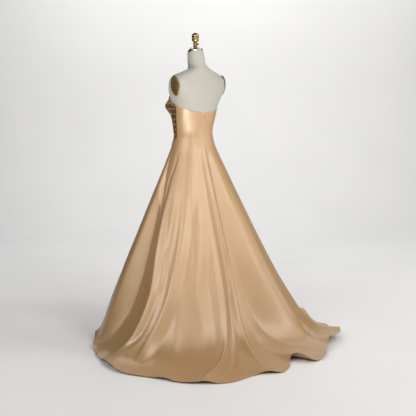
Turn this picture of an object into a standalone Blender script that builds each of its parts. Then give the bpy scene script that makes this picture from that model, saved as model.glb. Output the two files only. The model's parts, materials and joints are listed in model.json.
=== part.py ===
"""Strapless A-line evening gown with a sweep train, on a limbless dress form and its stand.

Metres, +Z up. The front of the gown faces -Y and the train runs out along +Y. The origin is on the
floor, under the stand's axis. Places round the body are turns in degrees: 0 at centre back, 90 at
the body's left (+X) and 180 at centre front. Places down the cloth are falls: 0 at the neckline,
1 at the waist and 2 at the hem.
"""

import math

import bmesh
import bpy
import numpy as np
from mathutils import Matrix, Vector

# Cloth
CLOTH = 0.0016
EASE = 0.0009
FRONT_EASE = 0.0022
BUST_EASE = 0.0026
SEAM_GAP = 0.0003
WAIST_HEIGHT = 1.150
WAIST_ROUND = 0.024
LEAN_OUT_POWER = 2.0

# Basque point of the bodice front
SIDE_SEAM_TURN = 92.0
BASQUE_DEPTH = 0.150
BASQUE_POWER = 1.15

# Dress form
FORM_BOTTOM = 0.900
NECK_TOP = 1.634
BUST_HEIGHT = 1.332
BUST_TURN = 30.0
BUST_OUT = 0.043
BUST_WIDTH = 27.0
BUST_RISE = 0.052
BUST_FALL = 0.046
ARM_PLANE = 0.172
ARM_HEIGHT = 1.447
ARM_SET_BACK = 0.025
ARM_TILT = 0.09
PLATE_HALF_WIDTH = 0.0370
PLATE_HALF_HEIGHT = 0.0555
PLATE_DOME = 0.007

# Stand
POLE_RADIUS = 0.016
BASE_RADIUS = 0.215
BASE_HEIGHT = 0.060
FLANGE_RADIUS = 0.055
FLANGE_THICK = 0.010

# Neck cap and finial
CAP_TOP = 1.664
CAP_TOP_RADIUS = 0.020
SCREW_HEIGHT = 0.0135
SCREW_RADIUS = 0.0050

# Zip at the top of the centre back
SLIDER_DROP = 0.013
SLIDER_LENGTH = 0.009
SLIDER_HALF_WIDTH = 0.0022
SLIDER_THICK = 0.0010
PIN_OUT = 0.0018
PIN_RADIUS = 0.00045
EYE_INNER = 0.00080
EYE_OUTER = 0.00135
EYE_HALF_WIDTH = 0.0010
PULL_LENGTH = 0.022
PULL_THICK = 0.0010

# Mesh density
FORM_COLUMNS = 44
BODICE_SHARES = (0, 0.07, 0.14, 0.21, 0.28, 0.36, 0.45, 0.55, 0.66, 0.77, 0.88, 1)
SKIRT_ROWS = 13
ROUND_STEPS = 24

FORM_SHAPE_COLUMNS = ("height", "half_width", "front", "back", "lean", "squareness", "tilt")
FORM_SHAPE = (
    (0.900, 0.158, 0.100, 0.106, -0.022, 2.2, 0.000),
    (0.960, 0.166, 0.106, 0.118, -0.022, 2.2, 0.000),
    (1.050, 0.146, 0.101, 0.106, -0.024, 2.1, 0.000),
    (1.100, 0.125, 0.092, 0.093, -0.024, 2.0, 0.000),
    (1.150, 0.113, 0.086, 0.086, -0.023, 2.0, 0.000),
    (1.200, 0.118, 0.092, 0.087, -0.020, 2.1, 0.000),
    (1.260, 0.131, 0.102, 0.084, -0.010, 2.2, 0.000),
    (1.330, 0.143, 0.118, 0.082, 0.001, 2.3, 0.000),
    (1.380, 0.163, 0.106, 0.084, 0.008, 2.4, 0.000),
    (1.420, 0.186, 0.092, 0.080, 0.013, 2.5, 0.000),
    (1.455, 0.194, 0.082, 0.074, 0.015, 2.5, 0.000),
    (1.490, 0.182, 0.070, 0.064, 0.016, 2.4, 0.002),
    (1.512, 0.146, 0.062, 0.058, 0.016, 2.2, 0.008),
    (1.528, 0.103, 0.057, 0.054, 0.016, 2.0, 0.014),
    (1.540, 0.068, 0.053, 0.051, 0.014, 2.0, 0.017),
    (1.556, 0.053, 0.050, 0.049, 0.011, 2.0, 0.016),
    (1.590, 0.049, 0.048, 0.047, 0.005, 2.0, 0.012),
    (1.634, 0.045, 0.045, 0.044, -0.002, 2.0, 0.009),
)

NECKLINE_COLUMNS = ("turn", "height")
NECKLINE = (
    (0, 1.2945), (30, 1.3010), (60, 1.3120), (80, 1.3250), (95, 1.3430),
    (110, 1.3680), (125, 1.3930), (140, 1.4110), (152, 1.4130), (166, 1.3960), (180, 1.3740),
)

# Where each side of the skirt would meet the floor as a straight cone, where its hem lies, and
# how softly the cloth bends onto the floor.
HEM_COLUMNS = ("turn", "reach", "hem", "bend")
HEM = (
    (-180, 0.500, 0.520, 0.035), (-150, 0.540, 0.560, 0.040), (-122, 0.590, 0.620, 0.055),
    (-95, 0.620, 0.700, 0.070), (-78, 0.640, 0.760, 0.080), (-64, 0.650, 0.795, 0.085),
    (-52, 0.650, 0.820, 0.085), (-41, 0.625, 0.835, 0.085), (-32, 0.600, 0.795, 0.085),
    (-22, 0.545, 0.800, 0.085), (-11, 0.480, 0.838, 0.085), (-5, 0.455, 0.815, 0.085),
    (-1, 0.445, 0.742, 0.085), (4, 0.445, 0.790, 0.085), (10, 0.452, 0.838, 0.085),
    (20, 0.470, 0.815, 0.085), (31, 0.490, 0.885, 0.085), (45, 0.520, 0.880, 0.085),
    (58, 0.550, 0.822, 0.080), (70, 0.575, 0.810, 0.070), (85, 0.605, 0.722, 0.055),
    (100, 0.615, 0.655, 0.040), (116, 0.600, 0.600, 0.030), (137, 0.580, 0.580, 0.030),
    (158, 0.545, 0.555, 0.032), (180, 0.500, 0.520, 0.035),
)

# Seams: the turn at each fall, on the body's left. The right side mirrors all but centre back.
SEAM_FALLS = (0.0, 0.4, 1.0, 1.2, 1.5, 1.7, 1.86, 2.0)
SEAMS = {
    "centre_back": (0, 0, 1.5, 4.0, 4.5, 7.5, 8.5, 8.0),
    "back_princess": (54, 52, 49, 46, 45, 46, 47, 47),
    "side": (SIDE_SEAM_TURN,) * 8,
    "front_princess": (149, 150.5, 160, 157, 154, 153, 152, 151),
}

# Folds: the crest's turn and height at each station down the skirt, the widths of its two sides
# at the hem (below the crest's turn, and above it). A negative height is a valley.
FOLD_STATIONS = (1.0, 1.15, 1.3, 1.45, 1.6, 1.75, 1.88, 2.0)
FOLD_COLUMNS = ("name", "turns", "heights_mm", "width_below", "width_above")
FOLDS = (
    ("left_ridge", (78, 77, 77, 74, 71, 74, 78, 83), (0, 4, 16, 33, 48, 56, 52, 22), 0.070, 0.030),
    ("left_valley", (92, 92, 92, 93, 93, 94, 97, 100), (0, -6, -22, -42, -56, -54, -22, 0), 0.070, 0.032),
    ("left_pleat", (99, 100, 102, 103, 104, 105, 107, 109), (0, 4, 10, 14, 17, 16, 10, 4), 0.022, 0.080),
    ("left_panel", (122, 122, 121, 121, 120, 120, 120, 120), (0, 2, 6, 8, 10, 10, 8, 3), 0.110, 0.110),
    ("second_ridge", (68, 68, 67, 67, 68, 71, 75, 78), (0, 1, 5, 8, 9, 7, 3, 0), 0.030, 0.030),
    ("left_hollow", (62, 62, 62, 65, 66, 70, 74, 77), (0, 0, -4, -10, -14, -12, -4, 0), 0.045, 0.035),
    ("middle_ridge", (56, 55, 56, 57, 60, 66, 68, 69), (0, 4, 9, 13, 16, 16, 12, 6), 0.100, 0.050),
    ("near_back_ridge", (26, 23, 21, 20, 20, 24, 32, 40), (0, 3, 12, 26, 40, 42, 30, 12), 0.035, 0.080),
    ("centre_back_valley", (12, 11, 8, 7, 12, 18, 26, 34), (0, -6, -14, -22, -28, -26, -16, -4), 0.030, 0.040),
    ("centre_back_edge", (4, 5, 4, 3.5, 6.5, 9, 11.5, 14), (0, 6, 13, 19, 23, 22, 14, 4), 0.060, 0.026),
    ("right_back_hollow", (-2, -3, -3, -4, -8, -14, -18, -20), (0, -7, -15, -21, -25, -21, -11, 0), 0.070, 0.035),
    ("right_back_ridge", (-10, -13, -19, -23, -26, -29, -30, -29), (0, 3, 9, 15, 23, 30, 36, 34), 0.110, 0.110),
    ("train_corner", (-48, -48, -48, -48, -48, -47, -45, -43), (0, 0, 0, 2, 8, 20, 28, 30), 0.060, 0.070),
    ("right_valley", (-66, -66, -65, -63, -62, -62, -62, -62), (0, -2, -8, -12, -14, -10, -3, 0), 0.080, 0.070),
    ("right_ridge", (-84, -84, -83, -81, -79, -79, -82, -85), (0, 2, 11, 21, 29, 33, 31, 15), 0.030, 0.080),
    ("right_side_valley", (-98, -98, -97, -96, -96, -97, -98, -99), (0, -2, -9, -15, -20, -18, -7, 0), 0.060, 0.045),
    ("right_panel", (-121, -121, -121, -120, -120, -120, -120, -120), (0, 2, 6, 9, 12, 12, 9, 4), 0.100, 0.100),
    ("front_left_fold", (150, 149, 147, 146, 145, 144, 144, 144), (0, 1, 6, 12, 17, 20, 18, 8), 0.055, 0.045),
    ("front_fold", (178, 178, 177, 176, 175, 175, 175, 175), (0, 0, 4, 10, 15, 18, 17, 8), 0.060, 0.060),
    ("front_right_fold", (-152, -151, -149, -148, -147, -146, -146, -146), (0, 1, 6, 11, 16, 18, 16, 7), 0.045, 0.055),
)

# Waves of the hem that stand off the floor.
WAVE_COLUMNS = ("turn", "lift_mm", "half_width_deg", "reach_up")
WAVES = (
    (128, 30, 5.0, 0.12), (108, 24, 5.0, 0.10), (93, 16, 4.0, 0.10), (76, 12, 4.5, 0.10),
    (53, 12, 3.5, 0.08), (38, 10, 3.5, 0.10), (16, 16, 3.6, 0.10), (-2.5, 50, 3.2, 0.12),
    (-14, 12, 2.6, 0.08), (-28, 32, 3.2, 0.12), (-36, 8, 2.6, 0.10), (-46, 20, 3.6, 0.12),
    (-60, 12, 4.0, 0.10), (-77, 56, 4.6, 0.14), (-93, 20, 5.0, 0.10), (-110, 26, 5.0, 0.10),
    (-130, 18, 5.0, 0.10), (-160, 16, 6.0, 0.08), (162, 16, 6.0, 0.08),
)

MATERIALS_COLUMNS = ("name", "colour", "roughness", "metallic")
MATERIALS = {
    "gold_satin": ((0.62, 0.42, 0.22), 0.38, 0.0),
    "beaded_lace": ((0.30, 0.15, 0.07), 0.45, 0.1),
    "form_canvas": ((0.62, 0.60, 0.54), 0.85, 0.0),
    "aged_brass": ((0.46, 0.32, 0.14), 0.30, 1.0),
    "cap_steel": ((0.20, 0.21, 0.21), 0.18, 1.0),
    "stand_iron": ((0.06, 0.06, 0.06), 0.55, 0.6),
    "zip_metal": ((0.60, 0.44, 0.22), 0.35, 1.0),
}


def clear_scene():
    for thing in list(bpy.data.objects):
        bpy.data.objects.remove(thing, do_unlink=True)


def smooth(at, stations, values):
    """A smooth curve through the values at the stations, read at the places in at."""
    stations = np.asarray(stations, float)
    values = np.asarray(values, float)
    slopes = np.gradient(values, stations)
    at = np.clip(at, stations[0], stations[-1])
    i = np.clip(np.searchsorted(stations, at) - 1, 0, len(stations) - 2)
    span = stations[i + 1] - stations[i]
    t = (at - stations[i]) / span
    start = (1 + 2 * t) * (1 - t) ** 2 * values[i] + t * (1 - t) ** 2 * span * slopes[i]
    end = t * t * (3 - 2 * t) * values[i + 1] + t * t * (t - 1) * span * slopes[i + 1]
    return start + end


def column(table, columns, name):
    return [row[columns.index(name)] for row in table]


def wrapped(turn):
    """A turn brought into -180 to 180 degrees."""
    return (np.asarray(turn, float) + 180.0) % 360.0 - 180.0


# The dress form


def form_value(height, name):
    heights = column(FORM_SHAPE, FORM_SHAPE_COLUMNS, "height")
    return smooth(height, heights, column(FORM_SHAPE, FORM_SHAPE_COLUMNS, name))


def bust_bump(turn, height):
    """How far the bust stands out: a bell over height at each cup, flat across the middle."""
    from_front = np.abs(180.0 - np.abs(wrapped(turn)))
    off_cup = (from_front - BUST_TURN) / BUST_WIDTH
    across = np.where(from_front < BUST_TURN, 1 - 0.32 * off_cup**2, np.exp(-1.3 * off_cup**2))
    above = height > BUST_HEIGHT
    rise = np.where(above, BUST_RISE, BUST_FALL)
    return BUST_OUT * across * np.exp(-(((height - BUST_HEIGHT) / rise) ** 2))


def form_radius(turn, height):
    """The ring's superellipse, deeper in front than behind, with the bust added."""
    angle = np.radians(turn)
    half_width = form_value(height, "half_width")
    depth = np.where(
        np.cos(angle) > 0, form_value(height, "back"), form_value(height, "front")
    )
    power = form_value(height, "squareness")
    across = np.abs(np.sin(angle) / half_width) ** power
    along = np.abs(np.cos(angle) / depth) ** power
    return (across + along) ** (-1 / power) + bust_bump(turn, height)


def form_points(turn, height):
    """Points of the form: rings that tilt at the neck, cut flat where the arms would be."""
    angle = np.radians(turn)
    radius = form_radius(turn, height)
    z = height + form_value(height, "tilt") * np.cos(angle)
    limit = ARM_PLANE + (z - ARM_HEIGHT) * ARM_TILT
    x = np.clip(radius * np.sin(angle), -limit, limit)
    y = form_value(height, "lean") + radius * np.cos(angle)
    return np.stack([x, y, z], axis=-1)


# The gown's surface


def neckline_height(turn):
    turns = column(NECKLINE, NECKLINE_COLUMNS, "turn")
    return smooth(np.abs(wrapped(turn)), turns, column(NECKLINE, NECKLINE_COLUMNS, "height"))


def around(turn, name):
    turns = column(HEM, HEM_COLUMNS, "turn")
    return smooth(wrapped(turn), turns, column(HEM, HEM_COLUMNS, name))


def soft_step(x):
    """A corner rounded off: 0 well below x = 0, and x well above it."""
    return np.logaddexp(0.0, x)


def skirt_profile(turn, down):
    """Radius and height down the skirt: a straight cone that eases out onto the floor."""
    start = form_radius(turn, WAIST_HEIGHT) + EASE
    reach = around(turn, "reach")
    hem = around(turn, "hem")
    bend = around(turn, "bend")
    hang = np.hypot(WAIST_HEIGHT, reach - start)
    length = hang + np.maximum(hem - reach, 0)

    def bent(run):
        out = (reach - start) / hang
        radius = out * run + (1 - out) * bend * soft_step((run - hang) / bend)
        height = WAIST_HEIGHT / hang * bend * soft_step((hang - run) / bend)
        return radius, height

    end_radius, end_height = bent(length)
    radius, height = bent(down * length)
    radius = start + radius * (hem - start) / end_radius
    height = (height - end_height) * WAIST_HEIGHT / (WAIST_HEIGHT - end_height)
    return radius, height


def skirt_length(turn):
    start = form_radius(turn, WAIST_HEIGHT) + EASE
    reach = around(turn, "reach")
    return np.hypot(WAIST_HEIGHT, reach - start) + np.maximum(around(turn, "hem") - reach, 0)


def rounded_peak(off):
    """A crest of height 1 at 0, round on top, that dies away on both sides."""
    return np.exp(1 - np.sqrt(1 + off**2))


def fold_height(turn, fall, radius):
    """All the folds together: how far the cloth stands off the plain skirt."""
    down = fall - 1
    total = np.zeros(np.broadcast(turn, fall).shape)
    for _, turns, heights, below, above in FOLDS:
        crest = smooth(fall, FOLD_STATIONS, turns)
        height = smooth(fall, FOLD_STATIONS, heights) * 0.001
        off = np.radians(wrapped(turn - crest)) * radius
        width = np.where(off < 0, below, above) * (0.30 + 0.70 * down)
        total = total + height * rounded_peak(off / width)
    return total


def wave_lift(turn, fall):
    """How far the waves lift the hem off the floor."""
    lift = np.zeros(np.broadcast(turn, fall).shape)
    for at, height, half_width, up in WAVES:
        across = np.exp(-((wrapped(turn - at) / half_width) ** 2))
        near_hem = np.clip((fall - (2 - up)) / up, 0, 1)
        lift = lift + height * 0.001 * across * near_hem**1.6
    return lift


def waist_ease(turn, away):
    """How far the cloth stands off at the waist, to round the hollow between bodice and skirt."""
    start = form_radius(turn, WAIST_HEIGHT) + EASE
    slope = (around(turn, "reach") - start) / WAIST_HEIGHT
    return WAIST_ROUND * slope * np.log1p(np.exp(-np.abs(away) / WAIST_ROUND))


def skirt_points(turn, fall):
    """The skirt's inner face: the profile, moved out along its normal by the folds."""
    down = np.clip(fall - 1, 0, 1)
    step = 0.002
    radius, height = skirt_profile(turn, down)
    r1, z1 = skirt_profile(turn, down - step)
    r2, z2 = skirt_profile(turn, down + step)
    run = np.hypot(r2 - r1, z2 - z1)
    out, up = (z1 - z2) / run, (r2 - r1) / run
    fold = fold_height(turn, fall, radius)
    angle = np.radians(turn)
    lean = form_value(WAIST_HEIGHT, "lean") * (1 - down) ** LEAN_OUT_POWER
    wide = radius + fold * out + waist_ease(turn, WAIST_HEIGHT - height)
    high = np.maximum(height + fold * up, 0) + wave_lift(turn, fall)
    return np.stack([wide * np.sin(angle), lean + wide * np.cos(angle), high], axis=-1)


def bodice_points(turn, fall):
    """The bodice's inner face, which follows the form at a small ease."""
    top = neckline_height(turn)
    height = top + (WAIST_HEIGHT - top) * np.clip(fall, 0, 1)
    bust = bust_bump(turn, height) / BUST_OUT
    front = np.clip((np.abs(wrapped(turn)) - 94) / 26, 0, 1)
    front = front * np.clip((height - WAIST_HEIGHT) / 0.08, 0, 1)
    radius = form_radius(turn, height) + EASE + FRONT_EASE * front + BUST_EASE * bust
    radius = radius + waist_ease(turn, height - WAIST_HEIGHT)
    angle = np.radians(turn)
    y = form_value(height, "lean") + radius * np.cos(angle)
    return np.stack([radius * np.sin(angle), y, height], axis=-1)


def gown_points(turn, fall):
    turn, fall = np.broadcast_arrays(np.asarray(turn, float), np.asarray(fall, float))
    on_skirt = (fall > 1)[..., None]
    return np.where(on_skirt, skirt_points(turn, fall), bodice_points(turn, fall))


def gown_normals(turn, fall):
    """Outward normals of the gown, from its slope across and down."""
    turn_step, fall_step = 0.4, 0.006
    across = gown_points(turn + turn_step, fall) - gown_points(turn - turn_step, fall)
    lower = np.clip(fall + fall_step, 0, 2)
    upper = np.clip(fall - fall_step, 0, 2)
    downward = gown_points(turn, lower) - gown_points(turn, upper)
    normal = np.cross(across, downward)
    return normal / np.linalg.norm(normal, axis=-1, keepdims=True)


def basque_fall(turn):
    """Where the bodice front ends: at the waist on the side seams, in a point in front."""
    share = np.clip((np.abs(wrapped(turn)) - SIDE_SEAM_TURN) / (180 - SIDE_SEAM_TURN), 0, 1)
    return 1 + BASQUE_DEPTH * share**BASQUE_POWER / skirt_length(turn)


def seam_turn(name, side, fall):
    """The turn of a seam at a fall; side is 1 on the body's left and -1 on its right."""
    if name == "centre_front":
        return np.full(np.shape(fall), 180.0)
    turns = smooth(fall, SEAM_FALLS, SEAMS[name])
    return turns if name == "centre_back" else side * turns


# Meshes


def material(name):
    made = bpy.data.materials.get(name)
    if made is None:
        colour, roughness, metallic = MATERIALS[name]
        made = bpy.data.materials.new(name)
        made.use_nodes = True
        shader = made.node_tree.nodes["Principled BSDF"]
        shader.inputs["Base Color"].default_value = (*colour, 1.0)
        shader.inputs["Roughness"].default_value = roughness
        shader.inputs["Metallic"].default_value = metallic
    return made


def add_object(name, points, faces, finish):
    mesh = bpy.data.meshes.new(name)
    mesh.from_pydata([tuple(map(float, p)) for p in points], [], faces)
    shape = bmesh.new()
    shape.from_mesh(mesh)
    if shape.calc_volume(signed=True) < 0:
        bmesh.ops.reverse_faces(shape, faces=shape.faces)
    shape.to_mesh(mesh)
    shape.free()
    mesh.materials.append(material(finish))
    mesh.shade_smooth()
    mesh.set_sharp_from_angle(angle=math.radians(40))
    thing = bpy.data.objects.new(name, mesh)
    bpy.context.scene.collection.objects.link(thing)
    return thing


def loft(name, rings, finish):
    """A closed solid through a stack of rings, with flat ends."""
    rings = np.asarray(rings, float)
    rows, columns = rings.shape[:2]
    index = np.arange(rows * columns).reshape(rows, columns)
    beside = np.roll(index, -1, axis=1)
    sides = np.stack([index[:-1], beside[:-1], beside[1:], index[1:]], axis=-1).reshape(-1, 4)
    faces = [tuple(map(int, f)) for f in sides]
    faces.append(tuple(map(int, index[0][::-1])))
    faces.append(tuple(map(int, index[-1])))
    return add_object(name, rings.reshape(-1, 3), faces, finish)


def turned(name, profile, finish, centre=(0.0, 0.0, 0.0), steps=ROUND_STEPS):
    """A solid of revolution about the vertical through centre, from (radius, height) rows."""
    angles = np.linspace(0, 2 * math.pi, steps, endpoint=False)
    rings = [
        [(r * math.cos(a), r * math.sin(a), z) for a in angles]
        for r, z in profile
    ]
    return loft(name, np.array(rings) + np.array(centre), finish)


def clear_of_seam(turn, fall, way):
    """The turn moved half a seam gap along the cloth, towards way (1 or -1)."""
    step = 0.05
    ahead = gown_points(turn + step, fall) - gown_points(turn - step, fall)
    per_degree = np.linalg.norm(ahead, axis=-1) / (2 * step)
    return turn + way * SEAM_GAP / 2 / per_degree


def wall_panel(name, turns, falls, finish):
    """One cut piece of cloth: a grid on the gown's inner face, drawn in at its two long edges to
    leave the seam gap, and the same grid a cloth's thickness out, closed along the edges."""
    placed = turns.copy()
    placed[:, 0] = clear_of_seam(turns[:, 0], falls[:, 0], 1)
    placed[:, -1] = clear_of_seam(turns[:, -1], falls[:, -1], -1)
    inner = gown_points(placed, falls)
    outer = inner + CLOTH * gown_normals(turns, falls)
    rows, columns = turns.shape
    index = np.arange(rows * columns).reshape(rows, columns)
    a, b = index[:-1, :-1], index[:-1, 1:]
    c, d = index[1:, 1:], index[1:, :-1]
    flat = outer.reshape(-1, 3)
    short = (
        np.linalg.norm(flat[a] - flat[c], axis=-1) < np.linalg.norm(flat[b] - flat[d], axis=-1)
    )[..., None]
    first = np.where(short, np.stack([a, b, c], -1), np.stack([a, b, d], -1)).reshape(-1, 3)
    second = np.where(short, np.stack([a, c, d], -1), np.stack([b, c, d], -1)).reshape(-1, 3)
    skin = np.concatenate([first, second])
    count = rows * columns
    rim = np.concatenate([index[0], index[1:, -1], index[-1, -2::-1], index[-2:0:-1, 0]])
    after = np.roll(rim, -1)
    edge = np.concatenate([
        np.stack([rim, rim + count, after], -1),
        np.stack([after, rim + count, after + count], -1),
    ])
    faces = np.concatenate([skin, skin[:, ::-1] + count, edge])
    points = np.concatenate([flat, inner.reshape(-1, 3)])
    return add_object(name, points, [tuple(map(int, f)) for f in faces], finish)


def column_shares(columns, crowd):
    """Where the columns stand from 0 to 1, about twice as close at the share in crowd."""
    even = np.linspace(0, 1, 201)
    if crowd is None:
        return np.linspace(0, 1, columns + 1)
    density = 1 + 1.3 * np.exp(-(((even - crowd) / 0.22) ** 2))
    sum_so_far = np.concatenate([[0], np.cumsum((density[1:] + density[:-1]) / 2)])
    return np.interp(np.linspace(0, sum_so_far[-1], columns + 1), sum_so_far, even)


def panel_grid(from_seam, to_seam, fall_rows, columns, crowd):
    """Turns and falls of a panel between two seams. Each seam is a name and a side, and
    fall_rows gives the fall at each row for the turns that it is handed."""
    share = column_shares(columns, crowd)[None, :]
    rows = len(fall_rows(np.array([[0.0]])))
    turns = np.zeros((rows, columns + 1))
    falls = np.zeros((rows, columns + 1))
    for _ in range(6):
        falls = fall_rows(turns)
        start = seam_turn(*from_seam, falls[:, :1])
        end = seam_turn(*to_seam, falls[:, -1:])
        end = np.where(end < start, end + 360, end)
        turns = start + (end - start) * share
    return turns, falls


def rows_between(top, bottom, shares):
    """A fall_rows function: the shares of the way from top(turn) to bottom(turn)."""
    shares = np.asarray(shares, float)[:, None]

    def fall_rows(turns):
        return top(turns) + (bottom(turns) - top(turns)) * shares

    return fall_rows


def constant(value):
    return lambda turns: np.full(np.shape(turns), float(value))


SKIRT_SHARES = np.linspace(0, 1, SKIRT_ROWS + 1)


def long_rows(turns):
    """Falls of a panel that runs from the neckline to the hem in one piece."""
    falls = np.concatenate([BODICE_SHARES, 1 + SKIRT_SHARES[1:]])
    return np.broadcast_to(falls[:, None], (len(falls), np.shape(turns)[1])).copy()


def below_gap(turns):
    return basque_fall(turns) + SEAM_GAP / skirt_length(turns)


def above_gap(turns):
    return basque_fall(turns) - SEAM_GAP / skirt_length(turns)


bodice_front_rows = rows_between(constant(0), above_gap, BODICE_SHARES)
skirt_front_rows = rows_between(below_gap, constant(2), SKIRT_SHARES)


def make_gown():
    """Back and side-back panels run from neckline to hem; the front has bodice and skirt."""
    back, princess, side = "centre_back", "back_princess", "side"
    front = "front_princess"
    panels = (
        ("back_left", (back, 1), (princess, 1), long_rows, 15, 0.25, "gold_satin"),
        ("side_back_left", (princess, 1), (side, 1), long_rows, 17, 0.78, "gold_satin"),
        ("side_back_right", (side, -1), (princess, -1), long_rows, 13, 0.3, "gold_satin"),
        ("back_right", (princess, -1), (back, -1), long_rows, 15, None, "gold_satin"),
        ("skirt_side_front_left", (side, 1), (front, 1), skirt_front_rows, 11, 0.0, "gold_satin"),
        ("skirt_front", (front, 1), (front, -1), skirt_front_rows, 10, None, "gold_satin"),
        ("skirt_side_front_right", (front, -1), (side, -1), skirt_front_rows, 11, None, "gold_satin"),
        ("bodice_side_front_left", (side, 1), (front, 1), bodice_front_rows, 11, None, "beaded_lace"),
        ("bodice_front", (front, 1), (front, -1), bodice_front_rows, 10, None, "beaded_lace"),
        ("bodice_side_front_right", (front, -1), (side, -1), bodice_front_rows, 11, None, "beaded_lace"),
    )
    for name, start, end, rows, columns, crowd, finish in panels:
        turns, falls = panel_grid(start, end, rows, columns, crowd)
        wall_panel(name, turns, falls, finish)


def make_form():
    heights = np.concatenate([
        np.linspace(FORM_BOTTOM, 1.150, 5)[:-1], np.linspace(1.150, 1.260, 5)[:-1],
        np.linspace(1.260, 1.400, 9)[:-1], np.linspace(1.400, 1.500, 5)[:-1],
        np.linspace(1.500, 1.556, 6)[:-1], np.linspace(1.556, NECK_TOP, 4),
    ])
    turns = np.linspace(0, 360, FORM_COLUMNS, endpoint=False)
    loft("form_torso", form_points(turns[None, :], heights[:, None]), "form_canvas")


def make_arm_plate(side, name):
    """A shallow oval dome on the flat where an arm would be."""
    angles = np.linspace(0, 2 * math.pi, ROUND_STEPS, endpoint=False)
    profile = ((1.0, 0.0), (1.0, 0.25), (0.94, 0.55), (0.72, 0.85), (0.40, 0.97), (0.12, 1.0))
    rings = []
    for size, rise in profile:
        y = ARM_SET_BACK + PLATE_HALF_WIDTH * size * np.cos(angles)
        z = PLATE_HALF_HEIGHT * size * np.sin(angles)
        x = ARM_PLANE + SEAM_GAP + z * ARM_TILT + PLATE_DOME * rise
        rings.append(np.stack([side * x, y, ARM_HEIGHT + z], axis=-1))
    loft(name, rings, "aged_brass")


def make_neck_cap():
    """A polished cap that follows the tilted neck at its rim and is level on top."""
    top = CAP_TOP - NECK_TOP
    lean = float(form_value(NECK_TOP, "lean"))
    tilt = float(form_value(NECK_TOP, "tilt")) / float(form_value(NECK_TOP, "back"))
    profile = (
        (0.0425, 0.0, 1.0), (0.0435, 0.12, 1.0), (0.0435, 0.32, 0.95), (0.0400, 0.50, 0.80),
        (0.0310, 0.72, 0.50), (0.0235, 0.86, 0.20), (CAP_TOP_RADIUS, 1.0, 0.0),
    )
    angles = np.linspace(0, 2 * math.pi, ROUND_STEPS, endpoint=False)
    rings = []
    for radius, rise, follow in profile:
        x = radius * np.cos(angles)
        y = radius * np.sin(angles)
        z = NECK_TOP + 2 * SEAM_GAP + top * rise + follow * tilt * y
        rings.append(np.stack([x, y + lean, z], axis=-1))
    loft("neck_cap", rings, "cap_steel")
    return lean


def make_finial(lean):
    profile = (
        (0.0115, 0.0000), (0.0130, 0.0020), (0.0125, 0.0050), (0.0090, 0.0075),
        (0.0122, 0.0105), (0.0128, 0.0135), (0.0122, 0.0170), (0.0085, 0.0205),
        (0.0105, 0.0230), (0.0168, 0.0290), (0.0195, 0.0360), (0.0190, 0.0420),
        (0.0172, 0.0450), (0.0190, 0.0480), (0.0202, 0.0550), (0.0188, 0.0645),
        (0.0140, 0.0720), (0.0070, 0.0762), (0.0015, 0.0775),
    )
    foot = CAP_TOP + 3 * SEAM_GAP
    turned("finial", profile, "aged_brass", (0, lean, foot))
    shaft = ((0.0028, 0.0), (0.0028, 0.004), (SCREW_RADIUS, 0.0042), (SCREW_RADIUS, 0.0110))
    screw = turned("cap_screw", shaft, "cap_steel", steps=12)
    sideways = Matrix.Rotation(math.radians(-90), 4, "Y")
    screw.data.transform(sideways)
    place = (-0.0128 - SEAM_GAP, lean, foot + SCREW_HEIGHT)
    screw.data.transform(Matrix.Translation(place))


def make_stand():
    """A plain round iron base, a pole and the flange that carries the form."""
    base = (
        (BASE_RADIUS, 0.0), (BASE_RADIUS, 0.008), (BASE_RADIUS - 0.008, 0.014),
        (0.120, 0.024), (0.050, 0.032), (0.028, 0.040), (0.024, BASE_HEIGHT),
    )
    turned("stand_base", base, "stand_iron", steps=40)
    under_form = FORM_BOTTOM - SEAM_GAP
    under_flange = under_form - FLANGE_THICK
    pole_foot = BASE_HEIGHT + SEAM_GAP
    pole = ((POLE_RADIUS, pole_foot), (POLE_RADIUS, under_flange - SEAM_GAP))
    turned("stand_pole", pole, "stand_iron", steps=20)
    flange = ((0.026, under_flange), (FLANGE_RADIUS, under_flange + 0.004), (FLANGE_RADIUS, under_form))
    turned("stand_flange", flange, "stand_iron")


def add_box(name, low, high, finish):
    corners = [(x, y, z) for x in (low[0], high[0]) for y in (low[1], high[1]) for z in (low[2], high[2])]
    faces = [(0, 1, 3, 2), (4, 6, 7, 5), (0, 4, 5, 1), (2, 3, 7, 6), (0, 2, 6, 4), (1, 5, 7, 3)]
    return add_object(name, corners, faces, finish)


def cylinder_along_x(name, radius, half_length, centre, finish, steps=16):
    thing = turned(name, ((radius, -half_length), (radius, half_length)), finish, steps=steps)
    thing.data.transform(Matrix.Rotation(math.radians(90), 4, "Y"))
    thing.data.transform(Matrix.Translation(centre))
    return thing


def combine(target, other, operation):
    """A live Boolean with a helper that is hidden and kept as a guide."""
    other.hide_render = True
    other.display_type = "WIRE"
    cut = target.modifiers.new(other.name, "BOOLEAN")
    cut.operation = operation
    cut.object = other
    cut.solver = "EXACT"


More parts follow.
